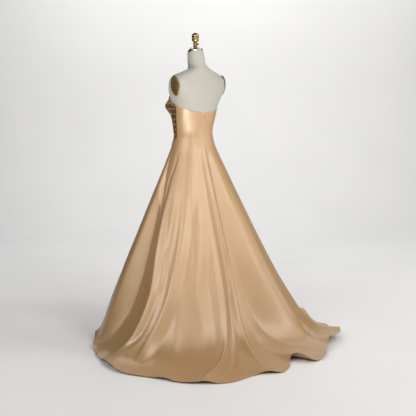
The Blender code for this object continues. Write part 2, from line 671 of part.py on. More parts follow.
def make_zip():
    """The slider at the top of the centre back, and the tab that hangs from its pin."""
    top = float(neckline_height(0.0))
    high_fall = SLIDER_DROP / (top - WAIST_HEIGHT)
    low_fall = (SLIDER_DROP + SLIDER_LENGTH) / (top - WAIST_HEIGHT)
    back_points = gown_points(np.zeros(9), np.linspace(high_fall, low_fall, 9))
    face = float(back_points[:, 1].max()) + CLOTH + SEAM_GAP
    high = top - SLIDER_DROP
    out = face + SLIDER_THICK
    pin = (0.0, out + PIN_OUT, high - 0.0035)
    half = SLIDER_HALF_WIDTH
    slider = add_box("zip_slider", (-half, face, high - SLIDER_LENGTH), (half, out, high), "zip_metal")
    for side in (-1, 1):
        inside = EYE_HALF_WIDTH + SEAM_GAP
        ends = sorted((side * inside, side * half * 0.98))
        lug = add_box(
            f"lug_{'left' if side > 0 else 'right'}",
            (ends[0], out - 0.0005, pin[2] - 0.0012), (ends[1], pin[1] + 0.0009, pin[2] + 0.0012),
            "zip_metal",
        )
        combine(slider, lug, "UNION")
    rod = cylinder_along_x("slider_pin", PIN_RADIUS, half * 0.9, pin, "zip_metal")
    combine(slider, rod, "UNION")

    pull = cylinder_along_x("zip_pull", EYE_OUTER, EYE_HALF_WIDTH, (0, 0, 0), "zip_metal")
    outline = (
        (0.00085, 0.0000), (0.00085, -0.0040), (0.0014, -0.0080), (0.0024, -0.0140),
        (0.0030, -0.0178), (0.0024, -0.0208), (0.0011, -PULL_LENGTH),
    )
    edge = [(x, z) for x, z in outline] + [(-x, z) for x, z in reversed(outline)]
    rings = [[(x, y, z) for x, z in edge] for y in (-PULL_THICK / 2, PULL_THICK / 2)]
    tab = loft("pull_tab", rings, "zip_metal")
    combine(pull, tab, "UNION")
    hole = cylinder_along_x("pull_hole", EYE_INNER, EYE_HALF_WIDTH * 2, (0, 0, 0), "zip_metal")
    combine(pull, hole, "DIFFERENCE")
    hinge = bpy.data.objects.new("zip_pull_hinge", None)
    bpy.context.scene.collection.objects.link(hinge)
    hinge.location = Vector(pin)
    for thing in (pull, tab, hole):
        thing.parent = hinge


def main():
    clear_scene()
    make_gown()
    make_form()
    make_arm_plate(1, "arm_plate_left")
    make_arm_plate(-1, "arm_plate_right")
    make_finial(make_neck_cap())
    make_stand()
    make_zip()


main()
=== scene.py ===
"""Dresses the strapless A-line evening gown and its dress form for a picture.

Metres, +Z up. The gown's front faces -Y, its train runs out along +Y, and the floor is at z = 0.
Places round the body are turns in degrees: 0 at centre back, 90 at the body's left (+X), 180 at
centre front. Places down the cloth are falls: 0 at the neckline, 1 at the waist, 2 at the hem.
"""

import json
import math

import bpy
import numpy as np
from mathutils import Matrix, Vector

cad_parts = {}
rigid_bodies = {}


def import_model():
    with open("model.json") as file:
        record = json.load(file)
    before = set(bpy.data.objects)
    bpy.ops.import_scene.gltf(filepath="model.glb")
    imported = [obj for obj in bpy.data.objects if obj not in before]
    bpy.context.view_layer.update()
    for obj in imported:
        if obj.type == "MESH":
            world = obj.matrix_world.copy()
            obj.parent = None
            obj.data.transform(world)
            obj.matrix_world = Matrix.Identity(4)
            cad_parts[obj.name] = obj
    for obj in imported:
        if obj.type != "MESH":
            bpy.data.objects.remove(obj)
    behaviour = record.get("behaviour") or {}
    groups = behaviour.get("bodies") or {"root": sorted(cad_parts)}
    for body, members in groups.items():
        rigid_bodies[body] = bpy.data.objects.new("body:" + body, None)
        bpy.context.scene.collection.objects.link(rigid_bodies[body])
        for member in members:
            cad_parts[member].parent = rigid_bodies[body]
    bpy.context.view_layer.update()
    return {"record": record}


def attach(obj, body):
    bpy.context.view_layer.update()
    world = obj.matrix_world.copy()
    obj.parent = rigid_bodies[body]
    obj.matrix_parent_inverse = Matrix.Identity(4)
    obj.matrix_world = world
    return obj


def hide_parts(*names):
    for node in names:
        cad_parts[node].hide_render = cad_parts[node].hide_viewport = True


bl_info = {
    "name": "Evening gown on a dress form",
    "version": (1, 0, 0),
    "blender": (4, 5, 0),
    "location": "3D View > Sidebar > Gown",
    "description": "Satin panels, beaded bodice, dress form and studio for an evening gown",
    "category": "Add Mesh",
}

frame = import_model()

MM = 0.001
SEAM_GAP = 0.0003
EASE = 0.0009
FRONT_EASE = 0.0022
BUST_EASE = 0.0026
WAIST_HEIGHT = 1.150
WAIST_ROUND = 0.024
LEAN_OUT_POWER = 2.0
SIDE_SEAM_TURN = 92.0
BASQUE_DEPTH = 0.150
BASQUE_POWER = 1.15

FORM_BOTTOM = 0.900
NECK_TOP = 1.634
BUST_HEIGHT = 1.332
BUST_TURN = 30.0
BUST_OUT = 0.043
BUST_WIDTH = 27.0
BUST_RISE = 0.052
BUST_FALL = 0.046
ARM_PLANE = 0.172
ARM_HEIGHT = 1.447
ARM_SET_BACK = 0.025
ARM_TILT = 0.09
PLATE_HALF_WIDTH = 0.0370
PLATE_HALF_HEIGHT = 0.0555
PLATE_DOME = 0.007
CAP_TOP = 1.664
CAP_TOP_RADIUS = 0.020

FORM_SHAPE_COLUMNS = ("height", "half_width", "front", "back", "lean", "squareness", "tilt")
FORM_SHAPE = (
    (0.900, 0.158, 0.100, 0.106, -0.022, 2.2, 0.000),
    (0.960, 0.166, 0.106, 0.118, -0.022, 2.2, 0.000),
    (1.050, 0.146, 0.101, 0.106, -0.024, 2.1, 0.000),
    (1.100, 0.125, 0.092, 0.093, -0.024, 2.0, 0.000),
    (1.150, 0.113, 0.086, 0.086, -0.023, 2.0, 0.000),
    (1.200, 0.118, 0.092, 0.087, -0.020, 2.1, 0.000),
    (1.260, 0.131, 0.102, 0.084, -0.010, 2.2, 0.000),
    (1.330, 0.143, 0.118, 0.082, 0.001, 2.3, 0.000),
    (1.380, 0.163, 0.106, 0.084, 0.008, 2.4, 0.000),
    (1.420, 0.186, 0.092, 0.080, 0.013, 2.5, 0.000),
    (1.455, 0.194, 0.082, 0.074, 0.015, 2.5, 0.000),
    (1.490, 0.182, 0.070, 0.064, 0.016, 2.4, 0.002),
    (1.512, 0.146, 0.062, 0.058, 0.016, 2.2, 0.008),
    (1.528, 0.103, 0.057, 0.054, 0.016, 2.0, 0.014),
    (1.540, 0.068, 0.053, 0.051, 0.014, 2.0, 0.017),
    (1.556, 0.053, 0.050, 0.049, 0.011, 2.0, 0.016),
    (1.590, 0.049, 0.048, 0.047, 0.005, 2.0, 0.012),
    (1.634, 0.045, 0.045, 0.044, -0.002, 2.0, 0.009),
)

NECKLINE = (
    (0, 1.2945), (30, 1.3010), (60, 1.3120), (80, 1.3250), (95, 1.3430),
    (110, 1.3680), (125, 1.3930), (140, 1.4110), (152, 1.4130), (166, 1.3960), (180, 1.3740),
)

HEM_COLUMNS = ("turn", "reach", "hem", "bend")
HEM = (
    (-180, 0.500, 0.520, 0.035), (-150, 0.540, 0.560, 0.040), (-122, 0.590, 0.620, 0.055),
    (-95, 0.620, 0.700, 0.070), (-78, 0.640, 0.760, 0.080), (-64, 0.650, 0.795, 0.085),
    (-52, 0.650, 0.820, 0.085), (-41, 0.625, 0.835, 0.085), (-32, 0.600, 0.795, 0.085),
    (-22, 0.545, 0.800, 0.085), (-11, 0.480, 0.838, 0.085), (-5, 0.455, 0.815, 0.085),
    (-1, 0.445, 0.742, 0.085), (4, 0.445, 0.790, 0.085), (10, 0.452, 0.838, 0.085),
    (20, 0.470, 0.815, 0.085), (31, 0.490, 0.885, 0.085), (45, 0.520, 0.880, 0.085),
    (58, 0.550, 0.822, 0.080), (70, 0.575, 0.810, 0.070), (85, 0.605, 0.722, 0.055),
    (100, 0.615, 0.655, 0.040), (116, 0.600, 0.600, 0.030), (137, 0.580, 0.580, 0.030),
    (158, 0.545, 0.555, 0.032), (180, 0.500, 0.520, 0.035),
)

SEAM_FALLS = (0.0, 0.4, 1.0, 1.2, 1.5, 1.7, 1.86, 2.0)
SEAMS = {
    "centre_back": (0, 0, 1.5, 4.0, 4.5, 7.5, 8.5, 8.0),
    "back_princess": (54, 52, 49, 46, 45, 46, 47, 47),
    "side": (SIDE_SEAM_TURN,) * 8,
    "front_princess": (149, 150.5, 160, 157, 154, 153, 152, 151),
}

# Large folds: turns and heights in millimetres at the stations, then the widths in metres of the
# sides towards lower turns and towards higher ones
FOLD_STATIONS = (1.0, 1.15, 1.3, 1.45, 1.6, 1.75, 1.88, 2.0)
FOLDS = (
    ("left_ridge", (78, 77, 77, 74, 71, 74, 78, 83), (0, 4, 16, 33, 48, 56, 52, 22), 0.070, 0.030),
    ("left_valley", (92, 92, 92, 93, 93, 94, 97, 100), (0, -6, -22, -42, -56, -54, -22, 0), 0.070, 0.032),
    ("left_pleat", (99, 100, 102, 103, 104, 105, 107, 109), (0, 4, 10, 14, 17, 16, 10, 4), 0.022, 0.080),
    ("left_panel", (122, 122, 121, 121, 120, 120, 120, 120), (0, 2, 6, 8, 10, 10, 8, 3), 0.110, 0.110),
    ("second_ridge", (68, 68, 67, 67, 68, 71, 75, 78), (0, 1, 5, 8, 9, 7, 3, 0), 0.030, 0.030),
    ("left_hollow", (62, 62, 62, 65, 66, 70, 74, 77), (0, 0, -4, -10, -14, -12, -4, 0), 0.045, 0.035),
    ("middle_ridge", (56, 55, 56, 57, 60, 66, 68, 69), (0, 4, 9, 13, 16, 16, 12, 6), 0.100, 0.050),
    ("near_back_ridge", (26, 23, 21, 20, 20, 24, 32, 40), (0, 3, 12, 26, 40, 42, 30, 12), 0.035, 0.080),
    ("centre_back_valley", (12, 11, 8, 7, 12, 18, 26, 34),
     (0, -6, -14, -22, -28, -26, -16, -4), 0.030, 0.040),
    ("centre_back_edge", (4, 5, 4, 3.5, 6.5, 9, 11.5, 14), (0, 6, 13, 19, 23, 22, 14, 4), 0.060, 0.026),
    ("right_back_hollow", (-2, -3, -3, -4, -8, -14, -18, -20),
     (0, -7, -15, -21, -25, -21, -11, 0), 0.070, 0.035),
    ("right_back_ridge", (-10, -13, -19, -23, -26, -29, -30, -29),
     (0, 3, 9, 15, 23, 30, 36, 34), 0.110, 0.110),
    ("train_corner", (-48, -48, -48, -48, -48, -47, -45, -43), (0, 0, 0, 2, 8, 20, 28, 30), 0.060, 0.070),
    ("right_valley", (-66, -66, -65, -63, -62, -62, -62, -62),
     (0, -2, -8, -12, -14, -10, -3, 0), 0.080, 0.070),
    ("right_ridge", (-84, -84, -83, -81, -79, -79, -82, -85), (0, 2, 11, 21, 29, 33, 31, 15), 0.030, 0.080),
    ("right_side_valley", (-98, -98, -97, -96, -96, -97, -98, -99),
     (0, -2, -9, -15, -20, -18, -7, 0), 0.060, 0.045),
    ("right_panel", (-121, -121, -121, -120, -120, -120, -120, -120),
     (0, 2, 6, 9, 12, 12, 9, 4), 0.100, 0.100),
    ("front_left_fold", (150, 149, 147, 146, 145, 144, 144, 144),
     (0, 1, 6, 12, 17, 20, 18, 8), 0.055, 0.045),
    ("front_fold", (178, 178, 177, 176, 175, 175, 175, 175), (0, 0, 4, 10, 15, 18, 17, 8), 0.060, 0.060),
    ("front_right_fold", (-152, -151, -149, -148, -147, -146, -146, -146),
     (0, 1, 6, 11, 16, 18, 16, 7), 0.045, 0.055),
)

# Soft creases of the cloth. A row holds its falls, the crest's turn and height in millimetres at
# each, and the widths in millimetres of its sides towards lower turns and towards higher ones.
CREASES = (
    # hip pleats on the body's left
    ((1.02, 1.11, 1.18, 1.24, 1.31, 1.42), (98, 97.2, 94.8, 92.4, 85.5, 81), (0, -4, -7, -7, -5, 0), 7, 12),
    ((1.02, 1.10, 1.18, 1.24, 1.31, 1.42), (103, 102.5, 100, 97.6, 91, 86), (0, 2, 3, 3, 2, 0), 14, 20),
    ((1.04, 1.11, 1.18, 1.25, 1.32, 1.44), (77, 78, 82, 82.6, 81.2, 79.5), (0, -4, -6, -7, -5, 0), 7, 13),
    # the left ridge's crest, the fine lines beside it and the long wedge
    ((1.24, 1.34, 1.48, 1.62, 1.76, 1.88, 1.98), (80, 78.4, 75.4, 73, 75.4, 79.4, 82.6),
     (0, 4, 6, 7, 7, 6, 0), 13, 10),
    ((1.24, 1.34, 1.48, 1.62, 1.76, 1.86), (76.6, 74.8, 71.2, 69.0, 71.6, 76),
     (0, -2, -3, -4, -3, 0), 15, 12),
    ((1.20, 1.36, 1.50, 1.62, 1.76), (67, 66, 66, 66, 69.5), (0, 2, 3, 3, 0), 18, 18),
    ((1.40, 1.55, 1.70, 1.82, 1.93), (64, 65.6, 70, 74.5, 79), (0, -4, -7, -8, 0), 16, 18),
    ((1.20, 1.36, 1.50, 1.64, 1.78, 1.87, 1.92), (55, 55.8, 57.8, 61, 66.5, 68.4, 69),
     (0, 3, 5, 7, 9, 9, 0), 40, 15),
    ((1.38, 1.50, 1.64, 1.78, 1.90), (95.5, 95.5, 94.5, 97.5, 101), (0, 2, 3, 3, 0), 6, 14),
    # soft lines of the left back
    ((1.10, 1.17, 1.26, 1.35, 1.44, 1.56, 1.68, 1.78, 1.88), (34, 36, 43, 46, 49, 54.6, 58, 61, 63),
     (0, -2, -4, -4, -4, -5, -5, -4, 0), 26, 26),
    ((1.12, 1.20, 1.30, 1.40, 1.50, 1.60, 1.70, 1.80), (27, 27, 28, 28, 30.5, 29, 29, 30),
     (0, -3, -4, -5, -6, -5, -4, 0), 24, 24),
    ((1.12, 1.20, 1.30, 1.40, 1.50, 1.60, 1.70, 1.80, 1.88), (59, 59, 54, 56, 58.5, 60, 64, 68, 70),
     (0, 2, 3, 4, 4, 5, 5, 4, 0), 26, 22),
    ((1.20, 1.34, 1.43, 1.53, 1.63, 1.75), (34, 34, 37.5, 41, 38, 38), (0, 3, 4, 4, 4, 0), 28, 28),
    ((1.20, 1.28, 1.38, 1.46, 1.57, 1.66, 1.76), (73, 72, 69, 66, 64.2, 65.2, 67),
     (0, -2, -3, -3, -3, -2, 0), 16, 16),
    ((1.44, 1.60, 1.76, 1.90), (53.8, 53.8, 54.0, 53.0), (0, 2, 3, 0), 26, 26),
    ((1.10, 1.30, 1.60, 1.86), (40, 40.5, 42, 43), (0, 2, 3, 0), 40, 34),
    ((1.60, 1.74, 1.88, 1.97), (60, 61.5, 64.0, 66), (0, -3, -4, 0), 24, 18),
    # beside the centre back
    ((1.01, 1.10, 1.20, 1.30, 1.42, 1.56, 1.70, 1.82, 1.92),
     (4.2, 4.8, 4.8, 4.2, 3.9, 5.9, 8.0, 10.3, 12.5),
     (0, 2, 4, 5, 6, 6, 6, 4, 0), 12, 18),
    ((1.03, 1.10, 1.20, 1.30, 1.42, 1.56, 1.70, 1.82, 1.92), (0.4, 1.4, 1.6, 1.4, 1.4, 3.4, 5.9, 8.2, 10.5),
     (0, -3, -6, -7, -8, -8, -7, -5, 0), 40, 12),
    ((1.50, 1.62, 1.74, 1.86, 1.94, 1.99), (20, 20, 23.6, 31, 37, 40), (0, 4, 6, 8, 7, 0), 9, 16),
    ((1.60, 1.72, 1.82, 1.91, 1.97), (15.6, 18.8, 24.2, 31, 36), (0, -4, -6, -7, 0), 13, 10),
    # right back and the train's corner
    ((1.04, 1.12, 1.22, 1.34), (-8, -11, -16, -21), (0, 2, 3, 0), 26, 22),
    ((1.80, 1.87, 1.93, 1.98), (-33, -30.5, -27.5, -24), (0, -6, -7, 0), 13, 11),
    ((1.76, 1.85, 1.92, 1.98), (-37, -34.5, -31.5, -27.5), (0, 5, 7, 0), 14, 15),
    ((1.84, 1.90, 1.96), (-18, -15, -12), (0, 3, 0), 18, 15),
    ((1.60, 1.72, 1.84, 1.94), (-50, -51, -52, -54), (0, 4, 5, 0), 24, 20),
    # body's right and front, which the picture hides
    ((1.02, 1.12, 1.22, 1.34), (-97, -95.5, -92, -86), (0, -3, -5, 0), 14, 10),
    ((1.04, 1.14, 1.26, 1.40), (-104, -102, -98, -92), (0, 2, 3, 0), 18, 13),
    ((1.20, 1.34, 1.50, 1.66), (-72, -73, -74, -74), (0, 2.5, 4, 0), 20, 24),
    ((1.42, 1.56, 1.70, 1.84), (-108, -107, -107, -108), (0, 3, 4, 0), 24, 18),
    ((1.70, 1.80, 1.90, 1.97), (-92, -94, -97, -100), (0, -4, -5, 0), 16, 14),
    ((1.30, 1.46, 1.62, 1.80), (112, 112, 113, 113), (0, 3, 4, 0), 20, 26),
    ((1.55, 1.68, 1.80, 1.92), (132, 132, 131, 130), (0, 4, 5, 0), 20, 16),
    ((1.16, 1.30, 1.46, 1.60), (160, 161, 162, 162), (0, 2, 3, 0), 22, 18),
    ((1.40, 1.56, 1.74, 1.90), (166, 166, 165, 164), (0, 3, 5, 0), 20, 24),
    ((1.26, 1.44, 1.62, 1.80), (-166, -165, -163, -162), (0, 3, 4, 0), 22, 20),
    ((1.50, 1.64, 1.80, 1.93), (-136, -135, -135, -136), (0, 4, 5, 0), 18, 22),
    # left hem lobes
    ((1.84, 1.90, 1.96, 2.0), (101, 104, 107, 109), (0, 5, 9, 10), 20, 16),
    ((1.86, 1.92, 1.97, 2.0), (113, 115, 117, 118), (0, -3, -5, -5), 18, 18),
    # soft pulls on the bodice's back, at the zip and towards the waist
    ((0.03, 0.16, 0.50, 0.80, 1.06), (-3.6, -3.6, -3.4, -2.8, -1.0), (0, 2.0, 2.4, 2.0, 0), 7, 3.5),
    ((0.03, 0.16, 0.50, 0.80, 1.06), (3.2, 3.2, 3.4, 3.8, 4.6), (0, 1.2, 1.4, 1.6, 0), 3, 12),
    ((0.16, 0.32, 0.50), (-8, -14, -22), (0, 1.6, 0), 6, 7),
    ((0.34, 0.52, 0.70), (-8, -15, -24), (0, 1.8, 0), 6, 8),
    ((0.54, 0.72, 0.90), (-7, -15, -26), (0, 1.6, 0), 7, 8),
    ((0.04, 0.30, 0.60, 0.94), (70, 68, 66, 64), (0, -0.8, -0.9, 0), 12, 12),
    ((0.10, 0.40, 0.80, 1.0), (34, 32, 30, 28), (0, 1.0, 1.1, 0), 18, 20),
    ((0.70, 0.86, 0.96, 1.0), (78, 76, 74, 72), (0, -0.7, -0.5, 0), 11, 12),
    ((0.66, 0.84, 0.96, 1.0), (-38, -40, -43, -46), (0, -0.7, -0.5, 0), 12, 10),
)

# Cloth that bridges the hollow of the back's waist: how far out, over falls
BRIDGE_FALLS = (0.50, 0.75, 0.90, 1.0, 1.003, 1.014, 1.03, 1.055)
BRIDGE_MM = (0, 1.2, 3.3, 4.0, 4.0, 3.0, 1.1, 0)

# Hem waves: turn, height in millimetres, half-width in degrees, share of the skirt they reach up
WAVES = (
    (128, 30, 5.0, 0.12), (108, 24, 5.0, 0.10), (93, 16, 4.0, 0.10), (76, 12, 4.5, 0.10),
    (53, 12, 3.5, 0.08), (38, 10, 3.5, 0.10), (16, 16, 3.6, 0.10), (-2.5, 50, 3.2, 0.12),
    (-14, 12, 2.6, 0.08), (-28, 32, 3.2, 0.12), (-36, 8, 2.6, 0.10), (-46, 20, 3.6, 0.12),
    (-60, 12, 4.0, 0.10), (-77, 56, 4.6, 0.14), (-93, 20, 5.0, 0.10), (-110, 26, 5.0, 0.10),
    (-130, 18, 5.0, 0.10), (-160, 16, 6.0, 0.08), (162, 16, 6.0, 0.08),
)

# The beading's flat plan: metres round from centre front at one radius, and heights
PLAN_RADIUS = 0.145
PLAN_LOW, PLAN_HIGH, PLAN_BASE = 0.99, 1.42, 1.0
LATTICE_SPACING = 0.047
LATTICE_PITCH = 0.116
LATTICE_SWING = 0.0145
LATTICE_LINES = 9
FRONT_PIECE_TURN = 158.5

COVER_SEAM_TURNS = (0, 40, -40, 92, -92, 140, -140, 180)
NECK_SEAM_HEIGHT = 1.553
# The cover's seams, and the seam round the neck, are grooves this deep and this wide to a side
COVER_SEAM_DEPTH, COVER_SEAM_WIDTH = 0.0007, 0.0016
NECK_SEAM_DEPTH, NECK_SEAM_WIDTH = 0.0011, 0.0022
COVER_RADIUS = 0.13
COVER_DRAWN_IN = 0.0020

CAMERA_TURN = 138.0
CAMERA_AWAY = 5.0
CAMERA_HEIGHT = 1.42
CAMERA_PITCH = 7.65
CAMERA_ASIDE = 0.07
PICTURE_PIXELS = 416
FOCAL_PIXELS = 875
FLOOR_BACK = 3.6
SWEEP_RADIUS = 1.6

LIGHT_AWAY = 5.5
LIGHT_AIM = (0, 0, 0.75)
LIGHT_COLOUR = (1.0, 0.985, 0.965)
# name, degrees right of the camera's direction, climb in degrees, size in metres, watts
LIGHTS = (
    ("front_light", 36, 30, (1.9, 1.7), 58),
    ("front_left_light", -14, 30, (1.8, 1.7), 70),
    ("left_light", -40, 30, (1.7, 1.7), 42),
    ("far_left_light", -70, 28, (1.7, 1.7), 16),
    ("high_light", 50, 52, (1.7, 1.7), 44),
    ("far_high_light", 100, 52, (1.7, 1.7), 32),
    ("near_right_light", 70, 30, (1.7, 1.7), 55),
    ("low_right_light", 75, 6, (1.7, 1.7), 32),
    ("right_light", 105, 6, (1.7, 1.9), 28),
)

BODY = frame["record"]["behaviour"]["joints"][0]["parent"]


# Curves


def smooth(at, stations, values):
    """A cubic Hermite curve through the values at the stations, with slopes from their
    neighbours, read at the places in at and held at its ends."""
    stations = np.asarray(stations, float)
    values = np.asarray(values, float)
    slopes = np.gradient(values, stations)
    at = np.clip(at, stations[0], stations[-1])
    i = np.clip(np.searchsorted(stations, at) - 1, 0, len(stations) - 2)
    span = stations[i + 1] - stations[i]
    t = (at - stations[i]) / span
    start = (1 + 2 * t) * (1 - t) ** 2 * values[i] + t * (1 - t) ** 2 * span * slopes[i]
    end = t * t * (3 - 2 * t) * values[i + 1] + t * t * (t - 1) * span * slopes[i + 1]
    return start + end


def wrapped(turn):
    """A turn brought into -180 to 180 degrees."""
    return (np.asarray(turn, float) + 180.0) % 360.0 - 180.0


def form_value(height, name):
    """One column of the form's table at a height."""
    at = FORM_SHAPE_COLUMNS.index(name)
    return smooth(height, [row[0] for row in FORM_SHAPE], [row[at] for row in FORM_SHAPE])


def around(turn, name):
    """One column of the hem's table at a turn."""
    at = HEM_COLUMNS.index(name)
    return smooth(wrapped(turn), [row[0] for row in HEM], [row[at] for row in HEM])


def neckline_height(turn):
    """Height of the neckline, the same on both sides."""
    return smooth(np.abs(wrapped(turn)), [r[0] for r in NECKLINE], [r[1] for r in NECKLINE])


# The dress form


def bust_bump(turn, height):
    """How far the bust stands out: a bell over height at each cup, flatter across the middle."""
    from_front = np.abs(180.0 - np.abs(wrapped(turn)))
    off_cup = (from_front - BUST_TURN) / BUST_WIDTH
    across = np.where(from_front < BUST_TURN, 1 - 0.32 * off_cup**2, np.exp(-1.3 * off_cup**2))
    rise = np.where(height > BUST_HEIGHT, BUST_RISE, BUST_FALL)
    return BUST_OUT * across * np.exp(-(((height - BUST_HEIGHT) / rise) ** 2))


def form_radius(turn, height):
    """A superellipse, deeper in front than behind, |x/a|^n + |y/b|^n = 1, plus the bust."""
    angle = np.radians(turn)
    half_width = form_value(height, "half_width")
    depth = np.where(
        np.cos(angle) > 0, form_value(height, "back"), form_value(height, "front")
    )
    power = form_value(height, "squareness")
    across = np.abs(np.sin(angle) / half_width) ** power
    along = np.abs(np.cos(angle) / depth) ** power
    return (across + along) ** (-1 / power) + bust_bump(turn, height)


def form_points(turn, height, shrink=0.0):
    """Rings of the form, tilted at the neck and cut flat where the arms would be."""
    angle = np.radians(turn)
    radius = form_radius(turn, height) - shrink
    z = height + form_value(height, "tilt") * np.cos(angle)
    limit = ARM_PLANE + (z - ARM_HEIGHT) * ARM_TILT
    x = np.clip(radius * np.sin(angle), -limit, limit)
    y = form_value(height, "lean") + radius * np.cos(angle)
    return np.stack([x, y, z], axis=-1)


# The gown's surface


def skirt_profile(turn, down):
    """Radius and height down the skirt: a straight cone that eases out onto the floor, its
    corner rounded by log(1 + exp(x))."""
    start = form_radius(turn, WAIST_HEIGHT) + EASE
    reach, hem, bend = (around(turn, name) for name in ("reach", "hem", "bend"))
    hang = np.hypot(WAIST_HEIGHT, reach - start)
    length = hang + np.maximum(hem - reach, 0)
    out = (reach - start) / hang

    def bent(run):
        radius = out * run + (1 - out) * bend * np.logaddexp(0, (run - hang) / bend)
        height = WAIST_HEIGHT / hang * bend * np.logaddexp(0, (hang - run) / bend)
        return radius, height

    end_radius, end_height = bent(length)
    radius, height = bent(down * length)
    radius = start + radius * (hem - start) / end_radius
    height = (height - end_height) * WAIST_HEIGHT / (WAIST_HEIGHT - end_height)
    return radius, height


def skirt_length(turn):
    """Length of the cloth from the waist to the hem."""
    start = form_radius(turn, WAIST_HEIGHT) + EASE
    reach = around(turn, "reach")
    return np.hypot(WAIST_HEIGHT, reach - start) + np.maximum(around(turn, "hem") - reach, 0)


def rounded_peak(off):
    """A crest of height 1 at 0, round on top, that dies away as exp(1 - sqrt(1 + x^2))."""
    return np.exp(1 - np.sqrt(1 + off**2))


def fold_height(turn, fall, radius):
    """How far the large folds stand off the plain skirt: a crest along each row's path."""
    total = np.zeros(np.broadcast(turn, fall).shape)
    for _, turns, heights, below, above in FOLDS:
        off = np.radians(wrapped(turn - smooth(fall, FOLD_STATIONS, turns))) * radius
        width = np.where(off < 0, below, above) * (0.30 + 0.70 * (fall - 1))
        total = total + smooth(fall, FOLD_STATIONS, heights) * MM * rounded_peak(off / width)
    return total


def crease_height(turn, fall, radius):
    """The same for the soft creases: bells exp(-x^2) across, of the row's own length, over
    the bridge at the back's waist, which fades out towards the side seams."""
    turn, fall, radius = np.broadcast_arrays(turn, fall, radius)
    at_back = smooth(np.abs(wrapped(turn)), (0, 60, 90, 180), (1, 1, 0, 0))
    total = at_back * smooth(fall, BRIDGE_FALLS, BRIDGE_MM) * MM
    for falls, turns, heights, below, above in CREASES:
        near = (fall > falls[0]) & (fall < falls[-1])
        near &= np.abs(wrapped(turn - turns[len(turns) // 2])) < 40
        if not near.any():
            continue
        at = fall[near]
        off = np.radians(wrapped(turn[near] - smooth(at, falls, turns))) * radius[near]
        width = np.where(off < 0, below, above) * MM
        total[near] += smooth(at, falls, heights) * MM * np.exp(-((off / width) ** 2))
    return total


def wave_lift(turn, fall):
    """How far the waves lift the hem off the floor."""
    lift = np.zeros(np.broadcast(turn, fall).shape)
    for at, height, half_width, up in WAVES:
        across = np.exp(-((wrapped(turn - at) / half_width) ** 2))
        near_hem = np.clip((fall - (2 - up)) / up, 0, 1)
        lift = lift + height * MM * across * near_hem**1.6
    return lift


def waist_ease(turn, away):
    """The waist's hollow corner rounded: b * slope * log(1 + exp(-away / b)) outwards, with away
    the distance from the waist, above it or below it."""
    start = form_radius(turn, WAIST_HEIGHT) + EASE
    slope = (around(turn, "reach") - start) / WAIST_HEIGHT
    return WAIST_ROUND * slope * np.log1p(np.exp(-np.abs(away) / WAIST_ROUND))


def skirt_points(turn, fall):
    """The skirt's inner face: the profile, moved out along its normal by folds and creases."""
    down = np.clip(fall - 1, 0, 1)
    step = 0.002
    radius, height = skirt_profile(turn, down)
    r1, z1 = skirt_profile(turn, down - step)
    r2, z2 = skirt_profile(turn, down + step)
    run = np.hypot(r2 - r1, z2 - z1)
    out, up = (z1 - z2) / run, (r2 - r1) / run
    fold = fold_height(turn, fall, radius) + crease_height(turn, fall, radius)
    angle = np.radians(turn)
    lean = form_value(WAIST_HEIGHT, "lean") * (1 - down) ** LEAN_OUT_POWER
    wide = radius + fold * out + waist_ease(turn, WAIST_HEIGHT - height)
    high = np.maximum(height + fold * up, 0) + wave_lift(turn, fall)
    return np.stack([wide * np.sin(angle), lean + wide * np.cos(angle), high], axis=-1)


def bodice_points(turn, fall):
    """The bodice's inner face, which follows the form at a small ease."""
    top = neckline_height(turn)
    height = top + (WAIST_HEIGHT - top) * np.clip(fall, 0, 1)
    bust = bust_bump(turn, height) / BUST_OUT
    front = np.clip((np.abs(wrapped(turn)) - 94) / 26, 0, 1)
    front = front * np.clip((height - WAIST_HEIGHT) / 0.08, 0, 1)
    radius = form_radius(turn, height) + EASE + FRONT_EASE * front + BUST_EASE * bust
    radius = radius + crease_height(turn, fall, radius) + waist_ease(turn, height - WAIST_HEIGHT)
    angle = np.radians(turn)
    y = form_value(height, "lean") + radius * np.cos(angle)
    return np.stack([radius * np.sin(angle), y, height], axis=-1)


def gown_points(turn, fall):
    """The gown's inner face at each turn and fall."""
    turn, fall = np.broadcast_arrays(np.asarray(turn, float), np.asarray(fall, float))
    return np.where((fall > 1)[..., None], skirt_points(turn, fall), bodice_points(turn, fall))


def gown_normals(turn, fall):
    """Outward normals: the cross product of the slopes across and down."""
    across = gown_points(turn + 0.2, fall) - gown_points(turn - 0.2, fall)
    lower = gown_points(turn, np.clip(fall + 0.003, 0, 2))
    upper = gown_points(turn, np.clip(fall - 0.003, 0, 2))
    normal = np.cross(across, lower - upper)
    return normal / np.linalg.norm(normal, axis=-1, keepdims=True)


def basque_fall(turn):
    """Where the bodice front ends: the waist at the side seams, a point in front."""
    share = np.clip((np.abs(wrapped(turn)) - SIDE_SEAM_TURN) / (180 - SIDE_SEAM_TURN), 0, 1)
    return 1 + BASQUE_DEPTH * share**BASQUE_POWER / skirt_length(turn)


def seam_turn(name, side, fall):
    """The turn of a seam at a fall; side is 1 on the body's left and -1 on its right."""
    turns = smooth(fall, SEAM_FALLS, SEAMS[name])
    return turns if name == "centre_back" else side * turns


# Meshes


